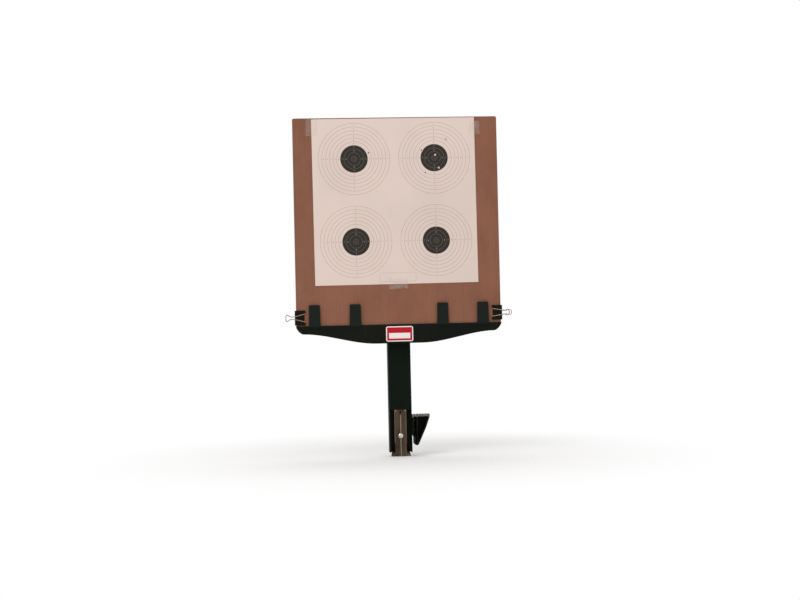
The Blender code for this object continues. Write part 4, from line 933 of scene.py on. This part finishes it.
@dataclass
class HollowPost:
    """The moulded post with its foot pedal and the pedal's screws."""

    edge: float = 0.45 * MM
    screw_edge: float = 0.12 * MM
    cutter_lead: float = 1.0 * MM
    recess_reach: float = 3.6 * MM
    recess_width: float = 1.0 * MM
    recess_depth: float = 1.3 * MM
    fastener: Fastener = field(default_factory=Fastener)

    def build(self) -> None:
        """Builds the mouldings, the screws and the washers at the pivot."""
        for node in ("post", "pedal"):
            moulding = Workpiece(f"{node}_moulding").copy_of(node)
            finish = TREAD_HIGHLIT_PLASTIC if node == "pedal" else GREEN_PLASTIC
            moulding.soften(self.edge, 35.0).finish(finish, "post", node)
        for node in ("pedal_screw_upper", "pedal_screw_lower"):
            self.screw(node)
        self.fastener.washer("pivot_washer_front", "post")
        self.fastener.washer("pivot_washer_rear", "post")

    def screw(self, node: str) -> None:
        """Rounds a pan head screw and cuts the cross recess in its head."""
        low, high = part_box(node)
        y, z = (low.y + high.y) / 2, (low.z + high.z) / 2
        inner, outer = high.x - self.recess_depth, high.x + self.cutter_lead
        reach, half = self.recess_reach / 2, self.recess_width / 2
        slots = [
            Workpiece("slot").block((inner, y - across, z - up), (outer, y + across, z + up))
            for across, up in ((reach, half), (half, reach))
        ]
        screw = Workpiece(f"{node}_pan_head").copy_of(node)
        screw.cut(*slots).soften(self.screw_edge, 40.0).finish(ZINC, "post", node)


# Crosspiece


@dataclass
class Crosspiece:
    """The moulded crosspiece, its pivot bolt and wing nut, and the label on its belly."""

    edge: float = 0.4 * MM
    label_corner: float = 4.0 * MM
    label_edge: float = 0.12 * MM
    fastener: Fastener = field(default_factory=Fastener)

    def build(self, label: Finish) -> None:
        """Builds the moulding, the fasteners and the label."""
        moulding = Workpiece("crosspiece_moulding").copy_of("crosspiece")
        moulding.soften(self.edge, 35.0).finish(UPPER_LIGHTER_PLASTIC, "crosspiece", "crosspiece")
        self.fastener.bolt("pivot_bolt", "crosspiece")
        self.fastener.wing_nut("pivot_wing_nut", "pivot_nut")
        low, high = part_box("label_plate")
        plate = Workpiece("label_sticker").block(low, high)
        plate.pick(lambda middle, direction: abs(direction.y) > 0.9).chamfer(self.label_corner, 10)
        plate.pick(lambda middle, direction: middle.y < low.y + 0.01 * MM and abs(direction.y) < 0.1)
        plate.chamfer(self.label_edge, 2).smooth(40.0).finish(label, "crosspiece", "label_plate")


# Board, score sheet and tapes


@dataclass
class ScoreSheet:
    """The paper sheet: slightly wavy, turned a little, shot through, with numbered rings.

    A hole is its bull's side and level, its place from the bull's middle and its relative size. A torn rim's
    profile is a share of the hole's radius and a depth at each point. Its tip stands wider in a hole whose
    size is above open_above. The gain of the curl brings it to its full height at the very corner.
    """

    printed: RingPrint
    width: float = 355.6 * MM
    height: float = 361.0 * MM
    thickness: float = 0.16 * MM
    grid: tuple[int, int] = (120, 120)
    bulge: float = 0.35 * MM
    waves: Place = (9.0, 7.0, 3.0)
    curl: float = 1.1 * MM
    curl_from: Point = (0.35, 0.45)
    curl_gain: float = 7.8
    numeral_height: float = 2.5 * MM
    numeral_proud: float = 0.02 * MM
    rim: Line = ((1.22, -0.03 * MM), (1.02, -0.06 * MM), (0.86, 0.15 * MM))
    rim_depth: float = 0.75 * MM
    rim_thickness: float = 0.07 * MM
    hole_radius: float = 2.2 * MM
    hole_ragged: float = 0.14
    rim_ragged: float = 0.3
    ragged_waves: float = 900.0
    open_above: float = 0.9
    open_tip: float = 0.62
    closed_tip: float = 0.3
    bit_length: float = 2.6 * MM
    bit_sides: int = 26
    holes: tuple[tuple[int, int, float, float, float], ...] = (
        (-1, 1, 31.9 * MM, 13.1 * MM, 1.0),
        (1, 1, 27.1 * MM, 40.0 * MM, 1.0),
        (1, 1, -27.3 * MM, 16.8 * MM, 1.05),
        (1, 1, -20.1 * MM, -32.4 * MM, 0.95),
        (1, 1, 2.4 * MM, 6.6 * MM, 0.8),
        (1, 1, 9.6 * MM, -21.9 * MM, 0.8),
    )

    def place(self, u: float, v: float) -> Point:
        """Where a point of the sheet's own plane stands, as X and Z."""
        sine, cosine = math.sin(self.printed.turn), math.cos(self.printed.turn)
        x, z = self.printed.middle
        return x + u * cosine - v * sine, z + u * sine + v * cosine

    def rise(self, u: float, v: float) -> float:
        """How far the sheet stands off the board at a point: a soft bulge, and curled lower corners."""
        share_u, share_v = min(1.0, abs(2 * u / self.width)), min(1.0, abs(2 * v / self.height))
        inner = (1 - share_u ** 4) * (1 - share_v ** 4)
        wave = 0.5 + 0.5 * noise.noise(Vector((u * self.waves[0], v * self.waves[1], self.waves[2])))
        start_u, start_v = self.curl_from
        corner = max(0.0, share_u - start_u) ** 2 * max(0.0, -2 * v / self.height - start_v) ** 2
        return self.bulge * inner * wave + self.curl * corner * self.curl_gain

    def build(self) -> list[Workpiece]:
        """Builds the sheet with its holes and numbers.

        Returns:
            The tools that cut the holes, for the board behind.
        """
        _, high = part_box("score_sheet")
        back, x, z = high.y, self.width / 2, self.height / 2
        flat = Workpiece("score_sheet_paper").film((-x, back, -z), (x, back, z), *self.grid)
        flat.reshape(lambda point: self.stood(point.x, point.z, back)).thicken(self.thickness, 1.0)
        bits = [self.drill(*hole, back) for hole in self.holes]
        flat.cut(*bits, keep=True).smooth(40.0).finish(self.printed, "board", "score_sheet")
        self.tear(back)
        self.number(back - self.thickness)
        return bits

    def stood(self, u: float, v: float, back: float) -> Vector:
        """A point of the sheet stood up against the board."""
        x, z = self.place(u, v)
        return Vector((x, back - self.rise(u, v), z))

    def hole_place(self, side: int, level: int, across: float, up: float) -> Point:
        """A place in the sheet's own plane, from the middle of its bull."""
        spacing, offset = self.printed.bull_spacing, self.printed.bull_offset
        return offset[0] + side * spacing[0] / 2 + across, offset[1] + level * spacing[1] / 2 + up

    def drill(self, side: int, level: int, across: float, up: float, size: float, back: float) -> Workpiece:
        """A ragged round bit at one hole."""
        x, z = self.place(*self.hole_place(side, level, across, up))
        bit = Workpiece("bit").drum((x, back, z), self.hole_radius * size, self.bit_length, self.bit_sides)
        return bit.reshape(lambda point: self.ragged(point, x, z, self.hole_ragged))

    def ragged(self, point: Vector, x: float, z: float, amount: float) -> Vector:
        """Moves a point in or out from an axis along Y by an uneven share."""
        away = Vector((point.x - x, 0.0, point.z - z))
        uneven = noise.noise(Vector((point.x * self.ragged_waves, 0.0, point.z * self.ragged_waves)))
        return point + away * amount * uneven

    def tear(self, back: float) -> None:
        """Folds a torn rim of bare paper into each hole."""
        rims = []
        for index, (side, level, across, up, size) in enumerate(self.holes):
            u, v = self.hole_place(side, level, across, up)
            x, z = self.place(u, v)
            front = back - self.rise(u, v) - self.thickness
            radius = self.hole_radius * size
            tip = (self.open_tip if size > self.open_above else self.closed_tip, self.rim_depth)
            profile = [(radius * share, depth) for share, depth in (*self.rim, tip)]
            rim = Workpiece(f"rim_{index}").turned(profile, (x, front, z), steps=30)
            rim.reshape(lambda point, x=x, z=z: self.ragged(point, x, z, self.rim_ragged))
            rims.append(rim.thicken(self.rim_thickness))
        rims[0].join(rims[1:]).rename("torn_rims").smooth(40.0).finish(BARE_PAPER, "board")

    def number(self, front: float) -> None:
        """Prints the ring numbers on both axes of each bull, dark outside the black and light on it."""
        digits = {"dark": [], "light": []}
        for digit in range(1, 9):
            glyph = Workpiece(f"digit_{digit}").numeral(digit, self.numeral_height, 2 * self.numeral_proud)
            reach = self.printed.outer_radius - self.printed.ring_pitch * (digit - 0.5)
            tone = "light" if reach < self.printed.black_radius else "dark"
            spots = ((reach, 0.0), (-reach, 0.0), (0.0, reach), (0.0, -reach))
            for side, level, spot in product((-1, 1), (-1, 1), spots):
                u, v = self.hole_place(side, level, *spot)
                digits[tone].append(glyph.twin("digit", (u, 0.0, v)))
            glyph.scrap()
        for tone, finish in (("dark", DARK_INK), ("light", LIGHT_INK)):
            piece = digits[tone][0].join(digits[tone][1:]).rename(f"ring_numbers_{tone}")
            piece.reshape(lambda point: self.stood(point.x, point.z, front + point.y)).finish(finish, "board")


@dataclass
class BackerBoard:
    """Single wall corrugated board: two liners with upright flutes between them."""

    liner: float = 0.35 * MM
    medium: float = 0.25 * MM
    flute_pitch: float = 7.6 * MM
    steps_per_flute: int = 10
    top_slant: float = 1.2 * MM
    corner_cut: float = 2.5 * MM
    wear: float = 0.5 * MM
    wear_waves: float = 40.0
    wear_row: float = 8.0
    wear_power: float = 1.5
    liner_grid: tuple[int, int] = (90, 60)

    def __post_init__(self) -> None:
        """Measures the board's node."""
        self.low, self.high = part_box("backer_board")

    def build(self, bits: Sequence[Workpiece]) -> None:
        """Builds the liners and the flutes, and drills the front as the sheet was."""
        front = self.face("board_front_liner", self.low.y + self.liner)
        front.cut(*bits).finish(KRAFT, "board", "backer_board")
        self.face("board_rear_liner", self.high.y).finish(KRAFT, "board", "backer_board")
        self.flutes()

    def top(self, x: float) -> float:
        """How high the board stands at a place across: a slightly slanted edge with worn corners."""
        low, high = self.low, self.high
        slanted = high.z - self.top_slant * (high.x - x) / (high.x - low.x)
        cut = max(0.0, self.corner_cut - min(x - low.x, high.x - x))
        wear = noise.noise(Vector((x * self.wear_waves, 0.0, self.wear_row)))
        return slanted - cut - self.wear * max(0.0, wear) ** self.wear_power

    def fitted(self, point: Vector) -> Vector:
        """Moves a point so that the piece ends at the board's own top edge."""
        low, high = self.low, self.high
        share = (point.z - low.z) / (high.z - low.z)
        return Vector((point.x, point.y, low.z + share * (self.top(point.x) - low.z)))

    def face(self, name: str, back: float) -> Workpiece:
        """One liner, whose back stands at a depth."""
        low, high = self.low, self.high
        sheet = Workpiece(name).film((low.x, back, low.z), (high.x, back, high.z), *self.liner_grid)
        for edge in (low.x + self.corner_cut, high.x - self.corner_cut):
            sheet.saw((edge, back, 0.0), (1.0, 0.0, 0.0))
        return sheet.reshape(self.fitted).thicken(self.liner, 1.0)

    def flutes(self) -> None:
        """The wavy paper between the liners."""
        low, high = self.low, self.high
        middle = (low.y + high.y) / 2
        reach = (high.y - low.y) / 2 - self.liner - self.medium / 2
        count = round((high.x - low.x) / self.flute_pitch * self.steps_per_flute)
        wave = math.tau / self.flute_pitch
        wall = Workpiece("board_flutes").film((low.x, middle, low.z), (high.x, middle, high.z), count, 1)
        wall.reshape(lambda point: Vector((point.x, middle + reach * math.sin(point.x * wave), point.z)))
        wall.reshape(self.fitted).thicken(self.medium).smooth(60.0).finish(KRAFT, "board")


class TapeSide(Enum):
    """Which edge of the sheet a tape holds."""

    LEFT = "tape_left"
    RIGHT = "tape_right"
    BOTTOM = "tape_bottom"


@dataclass
class Tape:
    """A strip of clear tape that steps from the sheet down to the board, with torn ends."""

    side: TapeSide
    edge: float
    thickness: float = 0.06 * MM
    over_sheet: float = 0.1 * MM
    over_board: float = 0.05 * MM
    bubble: float = 0.05 * MM
    bubble_waves: float = 160.0
    step: float = 1.6 * MM
    step_lead: float = 0.2
    tooth: float = 0.7 * MM
    tooth_waves: float = 700.0
    torn_from: float = 0.9
    slant: float = 1.6 * MM
    grid: tuple[int, int] = (40, 40)

    def build(self) -> None:
        """Lays the film over the step and tears its ends."""
        low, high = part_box(self.side.value)
        sheet_low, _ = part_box("score_sheet")
        board_low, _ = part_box("backer_board")
        on_sheet, on_board = sheet_low.y - self.over_sheet, board_low.y - self.over_board
        film = Workpiece(f"{self.side.value}_film").film(low, high, *self.grid)
        upright = self.side is not TapeSide.BOTTOM

        def laid(point: Vector) -> Vector:
            """A point of the film on the sheet, on the board or on the slope between them."""
            across = point.x if upright else point.z
            outward = (across - self.edge) * (1.0 if self.side is TapeSide.RIGHT else -1.0)
            share = min(1.0, max(0.0, outward / self.step + self.step_lead))
            eased = share * share * (3 - 2 * share)
            bubble = self.bubble * noise.noise(point * self.bubble_waves)
            along, start, end = (point.z, low.z, high.z) if upright else (point.x, low.x, high.x)
            past_torn = abs(2 * (along - start) / (end - start) - 1) - self.torn_from
            near_end = max(0.0, past_torn) / (1 - self.torn_from)
            uneven = 0.5 + 0.5 * noise.noise(Vector((across * self.tooth_waves, 2.0, 0.0)))
            teeth = self.tooth * near_end * uneven
            inward = teeth if along < (start + end) / 2 else -teeth
            moved = Vector((0.0, 0.0, inward)) if upright else Vector((inward, 0.0, 0.0))
            if not upright:
                share_up = (high.z - point.z) / (high.z - low.z)
                moved.z = self.slant * share_up * (point.x - low.x) / (high.x - low.x)
            return Vector((point.x, on_sheet + (on_board - on_sheet) * eased - bubble, point.z)) + moved

        film.reshape(laid).thicken(self.thickness, 1.0).smooth(40.0).finish(TAPE, "board", self.side.value)


# Binder clips


class Loop(Enum):
    """The shape of a wire handle's end."""

    ROUND = "round"
    FLARED = "flared"


@dataclass
class BinderClip:
    """A binder clip: a folded body with curled jaws, and two wire handles laid back along it.

    A point of round_neck is counted from the start of the round loop and from the neck's half width, and one
    of flared_neck from the curl and from the handle's middle.
    """

    side: int
    loop: Loop
    sheet: float = 0.6 * MM
    sheet_edge: float = 0.14 * MM
    spine_radius: float = 2.2 * MM
    roll: float = 3.7 * MM
    roll_length: float = 6.4 * MM
    roll_turn: float = 325.0
    roll_edge: float = 0.12 * MM
    wire: float = 1.8 * MM
    bend: float = 1.4 * MM
    tail: float = 5.6 * MM
    length: float = 41.9 * MM
    arm: float = 8.0 * MM
    neck: float = 3.9 * MM
    loop_radius: float = 5.9 * MM
    round_neck: Line = ((-6.0 * MM, 0.5 * MM), (-2.5 * MM, -0.1 * MM), (-1.0 * MM, -0.1 * MM))
    flared_neck: Line = ((19.0 * MM, 3.5 * MM), (27.0 * MM, 2.6 * MM), (31.0 * MM, 2.8 * MM))
    flare_half: float = 6.9 * MM
    flare_corner: float = 2.4 * MM
    lean: float = math.radians(12.0)
    roll_x: float = 205.0 * MM
    middle_y: float = -30.0 * MM
    roll_offset: float = 5.55 * MM

    def __post_init__(self) -> None:
        """Names the clip as the model does, and measures its body."""
        self.label = "clip_left" if self.side < 0 else "clip_right"
        self.low, self.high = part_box(f"{self.label}_body")

    def build(self) -> None:
        """Folds the body, curls its jaws and bends the handles."""
        body = self.fold().join(self.curls()).smooth(50.0)
        body.finish(ENAMEL, self.label, f"{self.label}_body")
        for place, depth in (("front", -1), ("rear", 1)):
            self.handle(place, depth)

    def folded(self, name: str, line: Sequence[Point], foot: float, height: float, edge: float) -> Workpiece:
        """A strip of the clip's sheet that stands along a line, with its edges rounded."""
        points = [(self.side * x, self.middle_y + y, foot) for x, y in line]
        return Workpiece(name).strip(points, height, self.sheet).soften(edge, 50.0)

    def fold(self) -> Workpiece:
        """The sheet from one jaw round the spine to the other."""
        low, high, radius = self.low, self.high, self.spine_radius
        jaw = self.roll_offset - self.roll / 2 + self.sheet / 2
        spine = (high.y - low.y) / 2 - self.sheet / 2
        outer = max(abs(low.x), abs(high.x)) - self.sheet / 2
        half = [(self.roll_x, jaw), (self.roll_x + self.roll / 3, jaw)]
        half += arc((outer - radius, spine - radius), radius, 100, 0, 10)
        line = half + [(x, -y) for x, y in reversed(half)]
        return self.folded(f"{self.label}_spring", line, low.z, high.z - low.z, self.sheet_edge)

    def curls(self) -> list[Workpiece]:
        """The four curls that hold the handles' ends."""
        radius = self.roll / 2 - self.sheet / 2
        pieces = []
        for depth, foot in product((-1, 1), (self.low.z, self.high.z - self.roll_length)):
            middle = (self.roll_x, depth * self.roll_offset)
            line = arc(middle, radius, -90 * depth, (-90 - self.roll_turn) * depth, 28)
            pieces.append(self.folded("curl", line, foot, self.roll_length, self.roll_edge))
        return pieces

    def half_line(self) -> list[Point]:
        """Half of a handle's wire in its own plane, from its end in a curl to the middle of its loop."""
        line = [(0.0, self.arm + self.bend + self.tail)]
        line += arc((self.bend, self.arm + self.bend), self.bend, 180, 270, 8)
        if self.loop is Loop.ROUND:
            middle = self.length - self.wire / 2 - self.loop_radius
            opening = math.degrees(math.asin(self.neck / self.loop_radius))
            start = middle - self.loop_radius * math.cos(math.radians(opening))
            line += [(start + along, self.neck + up) for along, up in self.round_neck]
            return line + arc((middle, 0.0), self.loop_radius, 180 - opening, 0, 20)
        end, corner = self.length - self.wire / 2, self.flare_corner
        line += self.flared_neck
        return line + arc((end - corner, self.flare_half - corner), corner, 110, 0, 10) + [(end, 0.0)]

    def handle(self, place: str, depth: int) -> None:
        """Bends one handle and lays it back along the clip."""
        half = self.half_line()
        outline = half + [(along, -up) for along, up in reversed(half[:-1])]
        middle_z = (self.low.z + self.high.z) / 2
        points = [
            (
                self.side * (self.roll_x + along * math.cos(self.lean)),
                self.middle_y + depth * (self.roll_offset + along * math.sin(self.lean)),
                middle_z + up,
            )
            for along, up in outline
        ]
        name = f"{self.label}_{place}"
        Workpiece(f"{name}_wire").wire(points, self.wire).smooth(60.0).finish(WIRE, name, f"{name}_handle")


# Studio


@dataclass
class Studio:
    """The camera where the photographer stood, soft lights, and a pale floor that fades into white.

    A lamp is its name, place, size and power.
    """

    aim: Place = (0.0056, 0.0, 0.3419)
    distance: float = 3.012
    yaw: float = math.radians(5.0)
    pitch: float = math.radians(-1.0)
    roll: float = math.radians(-1.3)
    lens_mm: float = 61.7
    sensor_mm: float = 36.0
    sky: float = 0.66
    lamps: tuple[tuple[str, Place, float, float], ...] = (
        ("key", (-1.6, -2.2, 2.6), 1.6, 36.0),
        ("fill", (2.2, -2.4, 1.2), 2.2, 8.0),
        ("top", (0.3, 0.4, 3.2), 1.6, 16.0),
    )
    floor_tone: Colour = (0.93, 0.92, 0.91)
    floor_half: float = 12.0
    fade_start: float = 0.16
    fade_end: float = 0.75

    def build(self) -> None:
        """Sets the view transform, the world, the lights, the floor and the camera."""
        bpy.context.scene.view_settings.view_transform = "Standard"
        self.make_world()
        for lamp in self.lamps:
            self.make_light(*lamp)
        self.make_floor()
        self.make_camera()

    def make_world(self) -> None:
        """White to the camera and in reflections, and a softer sky for the light it sheds."""
        world = bpy.data.worlds.new("studio")
        bpy.context.scene.world = world
        recipe = Recipe(world)
        recipe.tree.nodes.clear()
        rays = ("Is Camera Ray", "Is Glossy Ray", "Is Transmission Ray")
        camera, glossy, through = (recipe.node("ShaderNodeLightPath", output=ray) for ray in rays)
        seen = camera.either(glossy).either(through)
        strength = recipe.node("ShaderNodeMapRange", {"Value": seen, "To Min": self.sky, "To Max": 1.0})
        sky = recipe.node("ShaderNodeBackground", {"Color": (1.0, 1.0, 1.0), "Strength": strength})
        recipe.feed(recipe.tree.nodes.new("ShaderNodeOutputWorld").inputs[0], sky)

    def make_light(self, name: str, place: Place, size: float, power: float) -> None:
        """Adds a square lamp that points where the camera does."""
        lamp = bpy.data.lights.new(name, "AREA")
        configure(lamp, size=size, energy=power)
        turn = (Vector(self.aim) - Vector(place)).to_track_quat("-Z", "Y").to_euler()
        configure(placed(name, lamp), location=place, rotation_euler=turn)

    def make_floor(self) -> None:
        """A wide pale floor at the ground line, plain white to the camera away from the stand."""
        bpy.ops.mesh.primitive_plane_add(size=2 * self.floor_half)
        floor = bpy.context.object
        floor.name = "floor"
        recipe = Recipe(bpy.data.materials.new("floor"))
        across, depth, _ = recipe.axes()
        faded = recipe.ramp((across ** 2.0 + depth ** 2.0) ** 0.5, self.fade_start, self.fade_end)
        rays = ("Is Camera Ray", "Is Glossy Ray")
        camera, glossy = (recipe.node("ShaderNodeLightPath", output=ray) for ray in rays)
        white = recipe.node("ShaderNodeEmission", {"Color": (1.0, 1.0, 1.0)})
        recipe.surface(Base_Color=self.floor_tone, Roughness=0.9, Specular_IOR_Level=0.0)
        plain = Signal(recipe, recipe.shader.outputs[0])
        mixed = recipe.node("ShaderNodeMixShader", {0: faded * camera.either(glossy), 1: plain, 2: white})
        recipe.feed(recipe.tree.nodes["Material Output"].inputs[0], mixed)
        floor.data.materials.append(recipe.owner)

    def make_camera(self) -> None:
        """Turns and places the camera from its aim point, distance and three angles."""
        data = bpy.data.cameras.new("camera")
        configure(data, lens=self.lens_mm, sensor_width=self.sensor_mm)
        camera = placed("camera", data)
        forward = Vector((
            math.sin(self.yaw) * math.cos(self.pitch),
            math.cos(self.yaw) * math.cos(self.pitch),
            -math.sin(self.pitch),
        ))
        level = Vector((math.cos(self.yaw), -math.sin(self.yaw), 0.0))
        upright = level.cross(forward)
        right = level * math.cos(self.roll) + upright * math.sin(self.roll)
        up = upright * math.cos(self.roll) - level * math.sin(self.roll)
        turned = Matrix((right, up, -forward)).transposed().to_4x4()
        camera.matrix_world = Matrix.Translation(Vector(self.aim) - forward * self.distance) @ turned
        bpy.context.scene.camera = camera


def main() -> None:
    """Builds the studio and dresses the stand, sub-assembly by sub-assembly."""
    logging.basicConfig(level=logging.INFO, format="%(name)s: %(message)s")
    Studio().build()
    sheet_low, sheet_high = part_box("score_sheet")
    middle = ((sheet_low.x + sheet_high.x) / 2, (sheet_low.z + sheet_high.z) / 2)
    label_low, label_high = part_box("label_plate")
    label = LabelFilm("label_film", "label_film", middle=(0.0, (label_low.z + label_high.z) / 2))
    GroundStake().build()
    HollowPost().build()
    Crosspiece().build(label)
    sheet = ScoreSheet(RingPrint("ring_print", "paper", middle=middle))
    BackerBoard().build(sheet.build())
    for side, edge in (
        (TapeSide.LEFT, middle[0] - sheet.width / 2),
        (TapeSide.RIGHT, middle[0] + sheet.width / 2),
        (TapeSide.BOTTOM, middle[1] - sheet.height / 2),
    ):
        Tape(side, edge).build()
    BinderClip(-1, Loop.FLARED).build()
    BinderClip(1, Loop.ROUND).build()


if __name__ == "__main__":
    main()
